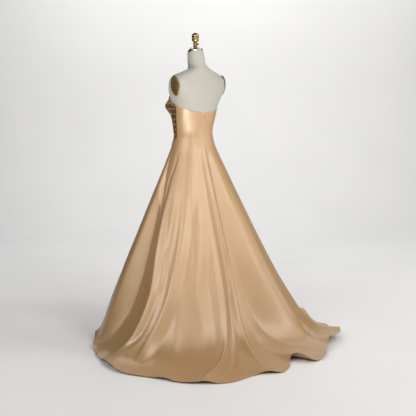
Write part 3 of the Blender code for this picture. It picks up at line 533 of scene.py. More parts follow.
def mesh_object(name, points, faces, uv=None, sharp=50):
    """A mesh from arrays of points and of faces, which all have the same number of corners;
    uv holds a place in metres on the cloth for each point."""
    points = np.asarray(points, np.float32).reshape(-1, 3)
    faces = np.asarray(faces, np.int32)
    count, corners = faces.shape
    mesh = bpy.data.meshes.new(name)
    mesh.vertices.add(len(points))
    mesh.vertices.foreach_set("co", points.ravel())
    mesh.loops.add(count * corners)
    mesh.loops.foreach_set("vertex_index", faces.ravel())
    mesh.polygons.add(count)
    mesh.polygons.foreach_set("loop_start", np.arange(count, dtype=np.int32) * corners)
    mesh.update(calc_edges=True)
    mesh.validate()
    if uv is not None:
        layer = mesh.uv_layers.new(name="cloth")
        layer.uv.foreach_set("vector", np.asarray(uv, np.float32)[faces.ravel()].ravel())
    mesh.shade_smooth()
    mesh.set_sharp_from_angle(angle=math.radians(sharp))
    thing = bpy.data.objects.new(name, mesh)
    bpy.context.scene.collection.objects.link(thing)
    return thing


def grid_faces(rows, columns, close_across=False):
    """Quads of a grid of rows by columns, joined across its ends if close_across."""
    index = np.arange(rows * columns).reshape(rows, columns)
    beside = np.roll(index, -1, axis=1)
    left, right = (index, beside) if close_across else (index[:, :-1], beside[:, :-1])
    return np.stack([left[:-1], left[1:], right[1:], right[:-1]], axis=-1).reshape(-1, 4)


def add_tone(thing, tone):
    """Keeps one value a point, which the material reads for its colour."""
    layer = thing.data.attributes.new("tone", "FLOAT", "POINT")
    layer.data.foreach_set("value", np.asarray(tone, np.float32).ravel())


def finish_piece(thing, material, *nodes, slot=None):
    """Gives a piece its finish and the body it moves with, and hides the solids that it stands for."""
    thing.data.materials.append(material)
    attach(thing, BODY)
    if nodes:
        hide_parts(*nodes)
    return thing


def lathe(name, profile, centre, steps=72):
    """A closed solid turned about a vertical through centre, from (radius, height) rows; the
    first and last rows shrink to the axis."""
    profile = np.array([(0.0, profile[0][1]), *profile, (0.0, profile[-1][1])])
    profile[0, 0] = profile[-1, 0] = 1e-5
    angle = np.linspace(0, 2 * math.pi, steps, endpoint=False)[None, :]
    radius, height = profile[:, :1], profile[:, 1:]
    points = np.stack([
        radius * np.cos(angle), radius * np.sin(angle), height + 0 * angle,
    ], axis=-1) + np.array(centre)
    faces = grid_faces(len(profile), steps, True)[:, ::-1]
    return mesh_object(name, points, faces, sharp=45)


def rounded_profile(rows, steps=5):
    """The rows of a profile with smooth curves between them."""
    rows = np.array(rows)
    run = np.concatenate([[0], np.cumsum(np.hypot(*np.diff(rows, axis=0).T))])
    fine = np.interp(np.linspace(0, len(rows) - 1, (len(rows) - 1) * steps + 1), np.arange(len(rows)), run)
    return np.stack([smooth(fine, run, rows[:, 0]), smooth(fine, run, rows[:, 1])], axis=-1)


# Panels of cloth

PANELS = (
    # name, first seam, last seam, columns, cloth
    ("back_left", ("centre_back", 1), ("back_princess", 1), 84, "satin"),
    ("side_back_left", ("back_princess", 1), ("side", 1), 100, "satin"),
    ("side_back_right", ("side", -1), ("back_princess", -1), 58, "satin"),
    ("back_right", ("back_princess", -1), ("centre_back", -1), 84, "satin"),
    ("skirt_side_front_left", ("side", 1), ("front_princess", 1), 52, "satin"),
    ("skirt_front", ("front_princess", 1), ("front_princess", -1), 46, "satin"),
    ("skirt_side_front_right", ("front_princess", -1), ("side", -1), 52, "satin"),
    ("bodice_side_front_left", ("side", 1), ("front_princess", 1), 44, "lace"),
    ("bodice_front", ("front_princess", 1), ("front_princess", -1), 44, "lace"),
    ("bodice_side_front_right", ("front_princess", -1), ("side", -1), 44, "lace"),
)
EDGE_MM = (0.0, 0.7, 1.8, 4.0)
BODICE_ROWS = 40
SKIRT_ROWS = 200
BODICE_FRONT_ROWS = 80


def edge_shares(count):
    """Even shares from 0 to 1."""
    return np.linspace(0, 1, count + 1)


def panel_falls(name):
    """The panel's rows: a function that gives the falls at the turns it is handed."""

    def long_rows(turns):
        falls = np.concatenate([edge_shares(BODICE_ROWS), 1 + edge_shares(SKIRT_ROWS)[1:]])
        return falls[:, None] + 0 * turns

    def bodice_rows(turns):
        low = basque_fall(turns) - SEAM_GAP / skirt_length(turns)
        return low * edge_shares(BODICE_FRONT_ROWS)[:, None]

    def skirt_rows(turns):
        top = basque_fall(turns) + SEAM_GAP / skirt_length(turns)
        return top + (2 - top) * edge_shares(SKIRT_ROWS)[:, None]

    if name.startswith("bodice"):
        return bodice_rows
    return skirt_rows if name.startswith("skirt") else long_rows


def per_degree(turn, fall):
    """Length of cloth across one degree of turn."""
    across = gown_points(turn + 0.05, fall) - gown_points(turn - 0.05, fall)
    return np.linalg.norm(across, axis=-1) / 0.1


def panel_grid(name, first, last, columns):
    """Turns and falls of a panel's points, with columns close together along both seams, and
    how far each point lies from its nearer seam."""
    fall_rows = panel_falls(name)
    edge = np.array(EDGE_MM)[None, :] * MM + SEAM_GAP / 2
    middle = edge_shares(columns)[1:-1][None, :]
    turns = np.zeros((1, columns - 1 + 2 * edge.shape[1]))
    for _ in range(5):
        falls = fall_rows(turns)
        start = seam_turn(*first, falls[:, :1])
        end = seam_turn(*last, falls[:, -1:])
        end = np.where(end < start, end + 360, end)
        near = start + edge / per_degree(start, falls[:, :1])
        far = end - edge[:, ::-1] / per_degree(end, falls[:, -1:])
        between = near[:, -1:] + (far[:, :1] - near[:, -1:]) * middle
        turns = np.concatenate([near, between, far], axis=1)
    return turns, fall_rows(turns)


def shell(name, turns, falls, thickness):
    """A cloth panel: its inner face on the gown's surface and its outer face a thickness out,
    closed along its edges. Both faces dip and pucker a little beside the seams. Returns the
    object, its flat width and length and its area."""
    inner = gown_points(turns, falls)
    normal = gown_normals(turns, falls)
    steps = np.linalg.norm(np.diff(inner, axis=1), axis=-1)
    across = np.concatenate([np.zeros((len(turns), 1)), np.cumsum(steps, axis=1)], axis=1)
    drops = np.linalg.norm(np.diff(inner, axis=0), axis=-1)
    down = np.concatenate([np.zeros((1, turns.shape[1])), np.cumsum(drops, axis=0)], axis=0)
    seam = np.minimum(across, across[:, -1:] - across)
    pucker = np.sin(2 * math.pi * down / 0.023 + 2.1 * np.sin(down / 0.061)) * np.exp(-seam / 0.010)
    side = np.exp(-seam / 0.0012)
    edge_row = np.minimum(down, down[-1:] - down)
    lift = 0.00004 * pucker - 0.00012 * side
    if not name.startswith("bodice"):
        hem_away = down[-1:] - down
        lift = lift - 0.0003 * np.exp(-(((hem_away - 0.016) / 0.0045) ** 2))
    inner = inner + lift[..., None] * normal
    full = thickness * (1 - 0.35 * np.exp(-edge_row / 0.0012) - 0.10 * side)
    outer = inner + full[..., None] * normal
    low = np.minimum(inner[..., 2].min(), outer[..., 2].min())
    if low < 0.0004:
        inner[..., 2] = np.maximum(inner[..., 2], 0.0004)
        outer[..., 2] = np.maximum(outer[..., 2], 0.0004 + 0.5 * thickness)
    rows, columns = turns.shape
    skin = grid_faces(rows, columns)
    count = rows * columns
    index = np.arange(count).reshape(rows, columns)
    rim = np.concatenate([index[0, :-1], index[:-1, -1], index[-1, :0:-1], index[:0:-1, 0]])
    after = np.roll(rim, -1)
    edge = np.stack([rim, after, after + count, rim + count], axis=-1)
    faces = np.concatenate([skin, skin[:, ::-1] + count, edge])
    uv = np.stack([across, -down], axis=-1).reshape(-1, 2)
    points = np.concatenate([outer.reshape(-1, 3), inner.reshape(-1, 3)])
    thing = mesh_object(name, points, faces, np.concatenate([uv, uv]))
    cell = 0.5 * (steps[1:] + steps[:-1]) * 0.5 * (drops[:, 1:] + drops[:, :-1])
    return thing, float(across[:, -1].max()), float(down[-1].max()), float(cell.sum())


def make_panel(name, first, last, columns, material, thickness, slot):
    """Makes one panel."""
    turns, falls = panel_grid(name, first, last, columns)
    thing, width, length, area = shell(f"{name}_cloth", turns, falls, thickness)
    finish_piece(thing, material, name, slot=slot)
    area = min(area, 0.99 * width * length)
    return thing


# Materials


def new_material(name):
    """An empty Principled material, with its nodes, links and shader."""
    made = bpy.data.materials.new(name)
    made.use_nodes = True
    tree = made.node_tree
    return made, tree, tree.nodes["Principled BSDF"]


def node(tree, kind, values=(), **settings):
    """A node with settings on it and values on its inputs."""
    made = tree.nodes.new(kind)
    for key, value in settings.items():
        setattr(made, key, value)
    for key, value in dict(values).items():
        made.inputs[key].default_value = value
    return made


def object_noise(tree, scale, detail=3.0, rough=0.5, stretch=(1, 1, 1)):
    """Noise on the object's own coordinates, stretched along its axes."""
    place = node(tree, "ShaderNodeTexCoord")
    spread = node(tree, "ShaderNodeMapping", {"Scale": stretch})
    noise = node(tree, "ShaderNodeTexNoise", {"Scale": scale, "Detail": detail, "Roughness": rough})
    tree.links.new(place.outputs["Object"], spread.inputs["Vector"])
    tree.links.new(spread.outputs["Vector"], noise.inputs["Vector"])
    return noise.outputs["Fac"]


def colour_ramp(tree, factor, stops):
    """Colours between stops of (place, colour)."""
    ramp = node(tree, "ShaderNodeValToRGB")
    elements = ramp.color_ramp.elements
    while len(elements) < len(stops):
        elements.new(0.5)
    for element, (place, colour) in zip(elements, stops):
        element.position = place
        element.color = (*colour[:3], 1.0)
    tree.links.new(factor, ramp.inputs["Fac"])
    return ramp.outputs["Color"]


def remap(tree, factor, low, high):
    """Values from low to high as the factor goes from 0.3 to 0.7."""
    made = node(tree, "ShaderNodeMapRange", {1: 0.3, 2: 0.7, 3: low, 4: high})
    tree.links.new(factor, made.inputs[0])
    return made.outputs[0]


def bumps(tree, shader, layers):
    """A chain of bumps: (height, strength, distance) layers, the coarsest first."""
    last = None
    for height, strength, distance in layers:
        made = node(tree, "ShaderNodeBump", {"Strength": strength, "Distance": distance})
        tree.links.new(height, made.inputs["Height"])
        if last is not None:
            tree.links.new(last, made.inputs["Normal"])
        last = made.outputs["Normal"]
    tree.links.new(last, shader.inputs["Normal"])


def thread_lines(tree, per_metre, along_x=True):
    """Fine threads on the cloth's own map, in metres."""
    place = node(tree, "ShaderNodeUVMap", uv_map="cloth")
    wave = node(tree, "ShaderNodeTexWave", {
        "Scale": per_metre / 20.0, "Distortion": 0.6, "Detail": 1.0, "Detail Scale": 3.0,
    }, bands_direction="X" if along_x else "Y")
    tree.links.new(place.outputs["UV"], wave.inputs["Vector"])
    return wave.outputs["Fac"]


def satin_material(sizes):
    """Heavy satin: one warm colour with a little variation, a broad gloss, slack in the cloth
    and fine threads across it."""
    made, tree, shader = new_material("gown_satin")
    base = np.array(sizes.satin_colour)
    tint = colour_ramp(tree, object_noise(tree, 2.6, 3.0), [
        (0.30, tuple(base * (0.95, 0.93, 0.88))), (0.52, tuple(base)),
        (0.74, tuple(np.minimum(base * (1.03, 1.05, 1.10), 1))),
    ])
    tree.links.new(tint, shader.inputs["Base Color"])
    gloss = remap(tree, object_noise(tree, 7.0, 4.0), sizes.satin_gloss - 0.03, sizes.satin_gloss + 0.05)
    tree.links.new(gloss, shader.inputs["Roughness"])
    shader.inputs["IOR"].default_value = 1.9
    shader.inputs["Specular IOR Level"].default_value = 0.66
    shader.inputs["Specular Tint"].default_value = (1.0, 0.93, 0.84, 1.0)
    shader.inputs["Sheen Weight"].default_value = 0.08
    shader.inputs["Sheen Roughness"].default_value = 0.45
    shader.inputs["Sheen Tint"].default_value = (1.0, 0.92, 0.82, 1.0)
    bumps(tree, shader, [
        (object_noise(tree, 5.0, 2.0, stretch=(1, 1, 0.35)), 0.35, 0.006),
        (object_noise(tree, 38.0, 3.0, stretch=(1, 1, 0.5)), 0.25, 0.0009),
        (thread_lines(tree, 1400, False), 0.05, 0.0001),
        (thread_lines(tree, 900), 0.05, 0.0001),
    ])
    return made


def lace_material(sizes):
    """The ground under the beads: dark plum and brown thread embroidered on net."""
    made, tree, shader = new_material("bodice_ground")
    noise = object_noise(tree, 60.0, 5.0, 0.7)
    plum, brown = sizes.plum_colour, sizes.brown_colour
    tint = colour_ramp(tree, noise, [(0.36, plum), (0.50, brown), (0.66, tuple(np.array(brown) * 1.8))])
    tree.links.new(tint, shader.inputs["Base Color"])
    tree.links.new(remap(tree, noise, 0.45, 0.75), shader.inputs["Roughness"])
    bumps(tree, shader, [
        (noise, 0.8, 0.0015), (thread_lines(tree, 700), 0.4, 0.0004),
        (thread_lines(tree, 700, False), 0.4, 0.0004),
    ])
    return made


def bead_material(name, stops, roughness, metallic):
    """Beads or sequins whose colour follows each one's tone."""
    made, tree, shader = new_material(name)
    tone = node(tree, "ShaderNodeAttribute", attribute_name="tone")
    tree.links.new(colour_ramp(tree, tone.outputs["Fac"], stops), shader.inputs["Base Color"])
    tree.links.new(remap(tree, tone.outputs["Fac"], roughness, roughness * 1.6), shader.inputs["Roughness"])
    shader.inputs["Metallic"].default_value = metallic
    shader.inputs["Coat Weight"].default_value = 0.4
    shader.inputs["Coat Roughness"].default_value = 0.12
    return made


def canvas_material(sizes):
    """Cream canvas: a plain weave of slubby threads, a little soiled."""
    made, tree, shader = new_material("form_canvas_cover")
    base = np.array(sizes.canvas_colour)
    tint = colour_ramp(tree, object_noise(tree, 6.0, 4.0), [
        (0.30, tuple(base * (0.95, 0.95, 0.93))), (0.60, tuple(base)), (0.80, tuple(base * 1.03)),
    ])
    tree.links.new(tint, shader.inputs["Base Color"])
    tree.links.new(remap(tree, object_noise(tree, 30.0), 0.82, 0.95), shader.inputs["Roughness"])
    shader.inputs["Sheen Weight"].default_value = 0.15
    bumps(tree, shader, [
        (object_noise(tree, 420.0, 2.0, stretch=(1, 1, 0.25)), 0.30, 0.0003),
        (object_noise(tree, 420.0, 2.0, stretch=(0.25, 0.25, 1)), 0.30, 0.0003),
    ])
    return made


def metal_material(name, colour, dark, roughness, scale):
    """Polished or aged metal: brighter and duller patches, and fine scratches."""
    made, tree, shader = new_material(name)
    noise = object_noise(tree, scale, 5.0, 0.6)
    tree.links.new(colour_ramp(tree, noise, [(0.32, dark), (0.60, colour)]), shader.inputs["Base Color"])
    tree.links.new(remap(tree, noise, roughness * 1.35, roughness), shader.inputs["Roughness"])
    shader.inputs["Metallic"].default_value = 1.0
    bumps(tree, shader, [(object_noise(tree, 260.0, 2.0), 0.12, 0.0002)])
    return made


def painted_iron_material():
    """Black enamel over cast iron, slightly orange-peeled."""
    made, tree, shader = new_material("enamelled_iron")
    noise = object_noise(tree, 26.0, 4.0)
    tint = colour_ramp(tree, noise, [(0.35, (0.020, 0.019, 0.018)), (0.70, (0.045, 0.042, 0.040))])
    tree.links.new(tint, shader.inputs["Base Color"])
    tree.links.new(remap(tree, noise, 0.30, 0.48), shader.inputs["Roughness"])
    shader.inputs["Coat Weight"].default_value = 0.3
    bumps(tree, shader, [(object_noise(tree, 180.0, 2.0), 0.25, 0.0004)])
    return made


# Beading


def unit_bead():
    """A small bead: a six-cornered barrel of three rings, closed by points."""
    angle = np.linspace(0, 2 * math.pi, 6, endpoint=False)
    rings = [(0.78, -0.45), (1.0, 0.05), (0.72, 0.62)]
    points = [(r * math.cos(a), r * math.sin(a), z) for r, z in rings for a in angle]
    points += [(0, 0, -0.62), (0, 0, 0.86)]
    faces = []
    for ring in range(2):
        for k in range(6):
            a, b = ring * 6 + k, ring * 6 + (k + 1) % 6
            faces += [(a, b, b + 6), (a, b + 6, a + 6)]
    faces += [((k + 1) % 6, k, 18) for k in range(6)]
    faces += [(12 + k, 12 + (k + 1) % 6, 19) for k in range(6)]
    return np.array(points), np.array(faces)


def unit_sequin():
    """A cupped disc with six corners and a shallow back."""
    angle = np.linspace(0, 2 * math.pi, 6, endpoint=False)
    points = [(math.cos(a), math.sin(a), 0.16) for a in angle] + [(0, 0, 0.02), (0, 0, -0.10)]
    faces = [(k, (k + 1) % 6, 6) for k in range(6)] + [((k + 1) % 6, k, 7) for k in range(6)]
    return np.array(points), np.array(faces)


def cloth_places(x, z, thickness):
    """Places on the bodice front's outer face from a flat plan: x metres round from centre
    front and z the height, with the normal there and a direction across. Below the waist the
    fall runs on down the skirt."""
    turn = 180.0 + np.degrees(x / PLAN_RADIUS)
    top = neckline_height(turn)
    fall = np.where(
        z > WAIST_HEIGHT, (top - z) / (top - WAIST_HEIGHT), 1 + (WAIST_HEIGHT - z) / WAIST_HEIGHT
    )
    inside = (fall * (top - WAIST_HEIGHT) > 0.003) & (fall < basque_fall(turn) - 0.0025)
    inside &= np.abs(wrapped(turn)) > SIDE_SEAM_TURN + 0.9
    turn, fall = turn[inside], fall[inside]
    point = gown_points(turn, fall)
    normal = gown_normals(turn, fall)
    across = gown_points(turn + 0.2, fall) - gown_points(turn - 0.2, fall)
    across /= np.linalg.norm(across, axis=-1, keepdims=True)
    return point + thickness * normal, normal, across, turn, inside


def scatter(name, shape, x, z, radius, tone, thickness, sink, tip, material, seed):
    """One mesh of many copies of a small shape, set on the bodice at flat plan places. Each
    is turned at random and tipped by up to tip radians; sink is its centre's height off the
    cloth in radii. Returns one object for each of the three front pieces."""
    dice = np.random.default_rng(seed)
    place, normal, across, turn, inside = cloth_places(x, z, thickness)
    radius, tone = radius[inside], tone[inside]
    lean = dice.normal(0, tip, (len(place), 3))
    up = normal + lean
    up /= np.linalg.norm(up, axis=-1, keepdims=True)
    side = across - (across * up).sum(-1, keepdims=True) * up
    side /= np.linalg.norm(side, axis=-1, keepdims=True)
    other = np.cross(up, side)
    spin = dice.uniform(0, 2 * math.pi, (len(place), 1))
    first = np.cos(spin) * side + np.sin(spin) * other
    second = np.cross(up, first)
    points, faces = shape
    size = radius[:, None, None]
    laid = (
        points[None, :, 0, None] * first[:, None] + points[None, :, 1, None] * second[:, None]
        + (points[None, :, 2, None] + sink) * up[:, None]
    ) * size + place[:, None]
    front = np.abs(wrapped(turn))
    piece_of = np.where(front > FRONT_PIECE_TURN, 1, np.where(wrapped(turn) > 0, 0, 2))
    made = []
    for part, label in enumerate(("side_front_left", "front", "side_front_right")):
        chosen = piece_of == part
        cloud = laid[chosen].reshape(-1, 3)
        steps = np.arange(chosen.sum())[:, None, None] * len(points)
        thing = mesh_object(f"{name}_{label}", cloud, (faces[None] + steps).reshape(-1, 3), sharp=60)
        add_tone(thing, np.repeat(tone[chosen], len(points)))
        made.append(finish_piece(thing, material, slot="beaded_lace"))
    return made


def lattice_line(sign, step):
    """Ogee lines of the lattice, x = k * spacing + sign * a * sin(2 pi z / pitch), with places a
    step apart in height."""
    z = np.arange(PLAN_LOW, PLAN_HIGH, step)
    swing = sign * LATTICE_SWING * np.sin(2 * math.pi * (z - PLAN_BASE) / LATTICE_PITCH)
    lines = [LATTICE_SPACING * k + swing for k in range(-LATTICE_LINES, LATTICE_LINES + 1)]
    return np.concatenate(lines), np.tile(z, len(lines))


# Operators


class GownSizes(bpy.types.PropertyGroup):
    """Sizes and colours of the gown that a user would change."""

    cloth_thickness: bpy.props.FloatProperty(
        name="Cloth thickness", description="Thickness of the satin with its backing",
        default=0.0015, min=0.0008, max=0.003, unit="LENGTH")
    satin_colour: bpy.props.FloatVectorProperty(
        name="Satin colour", description="Colour of the satin", subtype="COLOR",
        default=(0.41, 0.246, 0.108), min=0, max=1)
    satin_gloss: bpy.props.FloatProperty(
        name="Satin roughness", description="Roughness of the satin's gloss", default=0.40, min=0.1, max=1)
    plum_colour: bpy.props.FloatVectorProperty(
        name="Plum colour", description="Dark thread of the beaded pieces", subtype="COLOR",
        default=(0.030, 0.014, 0.022), min=0, max=1)
    brown_colour: bpy.props.FloatVectorProperty(
        name="Brown colour", description="Brown thread of the beaded pieces", subtype="COLOR",
        default=(0.11, 0.052, 0.024), min=0, max=1)
    bead_radius: bpy.props.FloatProperty(
        name="Bead radius", description="Radius of the gold seed beads", default=0.0013,
        min=0.0005, max=0.004, unit="LENGTH")
    canvas_colour: bpy.props.FloatVectorProperty(
        name="Canvas colour", description="Colour of the dress form's cover", subtype="COLOR",
        default=(0.38, 0.368, 0.326), min=0, max=1)
    brass_colour: bpy.props.FloatVectorProperty(
        name="Brass colour", description="Colour of the finial and arm plates", subtype="COLOR",
        default=(0.50, 0.33, 0.15), min=0, max=1)


class GOWN_OT_satin_panels(bpy.types.Operator):
    """Make the satin panels of the back and the skirt"""

    bl_idname = "gown.satin_panels"
    bl_label = "Satin panels"

    def execute(self, context):
        sizes = context.scene.gown_sizes
        satin = satin_material(sizes)
        for name, first, last, columns, cloth in PANELS:
            if cloth == "satin":
                make_panel(name, first, last, columns, satin, sizes.cloth_thickness,
                           "gold_satin")
        return {"FINISHED"}


class GOWN_OT_beaded_bodice(bpy.types.Operator):
    """Make the three front pieces of the bodice with their beads and sequins"""

    bl_idname = "gown.beaded_bodice"
    bl_label = "Beaded bodice"

    def execute(self, context):
        sizes = context.scene.gown_sizes
        thickness = sizes.cloth_thickness
        dice = np.random.default_rng(7)
        gold = bead_material("gold_beads", [
            (0.0, (0.30, 0.15, 0.05)), (0.5, (0.62, 0.38, 0.14)), (1.0, (0.85, 0.62, 0.30))], 0.22, 0.75)
        mixed = bead_material("mixed_sequins", [
            (0.0, (0.035, 0.016, 0.030)), (0.35, (0.10, 0.040, 0.030)), (0.65, (0.28, 0.13, 0.045)),
            (1.0, (0.50, 0.30, 0.11))], 0.25, 0.55)
        # sequins on a jittered brick plan, darker towards the lattice's middles
        pitch = 0.0046
        gx, gz = np.meshgrid(np.arange(-0.24, 0.24, pitch), np.arange(PLAN_LOW, PLAN_HIGH, pitch * 0.86))
        gx = gx + (np.arange(gx.shape[0])[:, None] % 2) * pitch / 2
        x = gx.ravel() + dice.normal(0, 0.0006, gx.size)
        z = gz.ravel() + dice.normal(0, 0.0006, gx.size)
        bands = np.cos(2 * math.pi * x / LATTICE_SPACING)
        bands = 0.5 + 0.5 * bands * np.cos(2 * math.pi * (z - PLAN_BASE) / LATTICE_PITCH)
        tone = np.clip(0.12 + 0.50 * bands + dice.normal(0, 0.16, x.size), 0, 1)
        sequins = scatter("sequins", unit_sequin(), x, z, np.full(x.size, 0.0024), tone,
                          thickness, 0.22, 0.22, mixed, 11)
        # gold beads along the ogee lattice, with larger ones where its lines meet
        xs, zs = [], []
        for sign in (-1, 1):
            lx, lz = lattice_line(sign, 0.0036)
            xs.append(lx)
            zs.append(lz)
        x, z = np.concatenate(xs), np.concatenate(zs)
        size = sizes.bead_radius * dice.uniform(0.85, 1.2, x.size)
        tone = np.clip(dice.normal(0.62, 0.2, x.size), 0, 1)
        lines = scatter("bead_lines", unit_bead(), x, z, size, tone, thickness, 1.15, 0.1, gold, 13)
        kx, kz = np.meshgrid(np.arange(-10, 11) * LATTICE_SPACING / 2,
                             np.arange(0, 16) * LATTICE_PITCH / 4 + PLAN_BASE)
        kx, kz = kx.ravel(), kz.ravel()
        turn_of = np.linspace(0, 2 * math.pi, 9)[:-1]
        ring_x = (kx[:, None] + 0.0052 * np.cos(turn_of)).ravel()
        ring_z = (kz[:, None] + 0.0052 * np.sin(turn_of)).ravel()
        x, z = np.concatenate([kx, ring_x]), np.concatenate([kz, ring_z])
        size = np.concatenate([np.full(kx.size, 0.0027), np.full(ring_x.size, 0.0013)])
        tone = np.clip(np.concatenate([np.full(kx.size, 0.9), dice.normal(0.45, 0.25, ring_x.size)]), 0, 1)
        rings = scatter("bead_rosettes", unit_bead(), x, z, size, tone, thickness, 1.0, 0.05, gold, 17)
        # a double row of beads along the neckline and the basque edge
        turn = np.arange(SIDE_SEAM_TURN + 1, 360 - SIDE_SEAM_TURN - 1, 1.25)
        flat = np.radians(turn - 180) * PLAN_RADIUS
        top = neckline_height(turn)
        low = WAIST_HEIGHT - (basque_fall(turn) - 1) * WAIST_HEIGHT
        x = np.concatenate([flat, flat + 0.0016, flat])
        z = np.concatenate([top - 0.0048, top - 0.0086, low + 0.0060])
        tone = np.clip(dice.normal(0.7, 0.2, x.size), 0, 1)
        rows = scatter("edge_beads", unit_bead(), x, z, np.full(x.size, 0.0016), tone, thickness,
                       1.0, 0.05, gold, 19)
        lace = lace_material(sizes)
        for name, first, last, columns, cloth in PANELS:
            if cloth == "lace":
                make_panel(name, first, last, columns, lace, thickness, "beaded_lace")
        return {"FINISHED"}


class GOWN_OT_dress_form(bpy.types.Operator):
    """Make the dress form's canvas cover with its seams"""

    bl_idname = "gown.dress_form"
    bl_label = "Dress form cover"

    def execute(self, context):
        sizes = context.scene.gown_sizes
        heights = np.concatenate([
            np.linspace(FORM_BOTTOM, 1.30, 50)[:-1], np.linspace(1.30, 1.50, 60)[:-1],
            np.linspace(1.50, 1.57, 50)[:-1], np.linspace(1.57, NECK_TOP, 24),
        ])[:, None]
        turns = np.linspace(0, 360, 168, endpoint=False)[None, :]
        # drawn in under the gown, by a soft step just below the neckline
        under = 1 / (1 + np.exp(np.clip((heights - neckline_height(turns) + 0.010) / 0.003, -30, 30)))
        groove = np.zeros((len(heights), turns.size))
        for at in COVER_SEAM_TURNS:
            off = np.radians(wrapped(turns - at)) * COVER_RADIUS
            groove = groove + COVER_SEAM_DEPTH * np.exp(-((off / COVER_SEAM_WIDTH) ** 2))
        off = heights - NECK_SEAM_HEIGHT
        groove = groove + NECK_SEAM_DEPTH * np.exp(-((off / NECK_SEAM_WIDTH) ** 2))
        points = form_points(turns, heights, COVER_DRAWN_IN * under + groove)
        points[0, :, 2] = FORM_BOTTOM
        low = points[:1] * (0.985, 0.985, 1)
        low[..., 2] = FORM_BOTTOM
        end = points[-1:].mean(axis=1, keepdims=True)
        lid = end + (points[-1:] - end) * 0.02
        base = low.mean(axis=1, keepdims=True)
        foot = base + (low - base) * 0.02
        stack = np.concatenate([foot, low, points, lid])
        faces = grid_faces(len(stack), turns.size, True)
        thing = mesh_object("form_cover", stack, faces, sharp=60)
        finish_piece(thing, canvas_material(sizes), "form_torso", slot="form_canvas")
        return {"FINISHED"}


class GOWN_OT_arm_plates(bpy.types.Operator):
    """Make the domed brass plates at the arms and the piping round them"""

    bl_idname = "gown.arm_plates"
    bl_label = "Arm plates"

    def execute(self, context):
        sizes = context.scene.gown_sizes
        brass = metal_material("arm_plate_brass", sizes.brass_colour, (0.20, 0.13, 0.06), 0.46, 30.0)
        canvas = canvas_material(sizes)
        angle = np.linspace(0, 2 * math.pi, 80, endpoint=False)[None, :]
        for side, label in ((1, "left"), (-1, "right")):
            size = np.array([1.0, 1.0, 0.985, 0.95, 0.88, 0.75, 0.55, 0.30, 0.02])[:, None]
            rise = np.array([0.0, 0.22, 0.36, 0.52, 0.68, 0.84, 0.95, 0.99, 1.0])[:, None]
            z = PLATE_HALF_HEIGHT * size * np.sin(angle)
            y = ARM_SET_BACK + PLATE_HALF_WIDTH * size * np.cos(angle)
            x = ARM_PLANE + SEAM_GAP + z * ARM_TILT + PLATE_DOME * rise
            points = np.stack([side * x, y, ARM_HEIGHT + z], axis=-1)
            centre = points[:1].mean(axis=1, keepdims=True)
            points = np.concatenate([centre + (points[:1] - centre) * 0.02, points])
            faces = grid_faces(len(points), angle.size, True)
            faces = faces if side < 0 else faces[:, ::-1]
            plate = mesh_object(f"arm_plate_{label}_dome", points, faces)
            finish_piece(plate, brass, f"arm_plate_{label}", slot="aged_brass")
            # piping: a round cord carried round the plate's rim
            round_cord = np.linspace(0, 2 * math.pi, 12, endpoint=False)[:, None]
            thick = 0.0017
            grow = 0.0020 + thick * np.cos(round_cord)
            z = (PLATE_HALF_HEIGHT + grow) * np.sin(angle)
            y = ARM_SET_BACK + (PLATE_HALF_WIDTH + grow) * np.cos(angle)
            x = ARM_PLANE + 0.0006 + z * ARM_TILT + thick * np.sin(round_cord)
            points = np.stack([side * x, y, ARM_HEIGHT + z], axis=-1)
            points = np.concatenate([points, points[:1]])
            faces = grid_faces(len(points), angle.size, True)
            faces = faces if side < 0 else faces[:, ::-1]
            piping = mesh_object(f"arm_piping_{label}", points, faces)
            finish_piece(piping, canvas, slot="form_canvas")
        return {"FINISHED"}


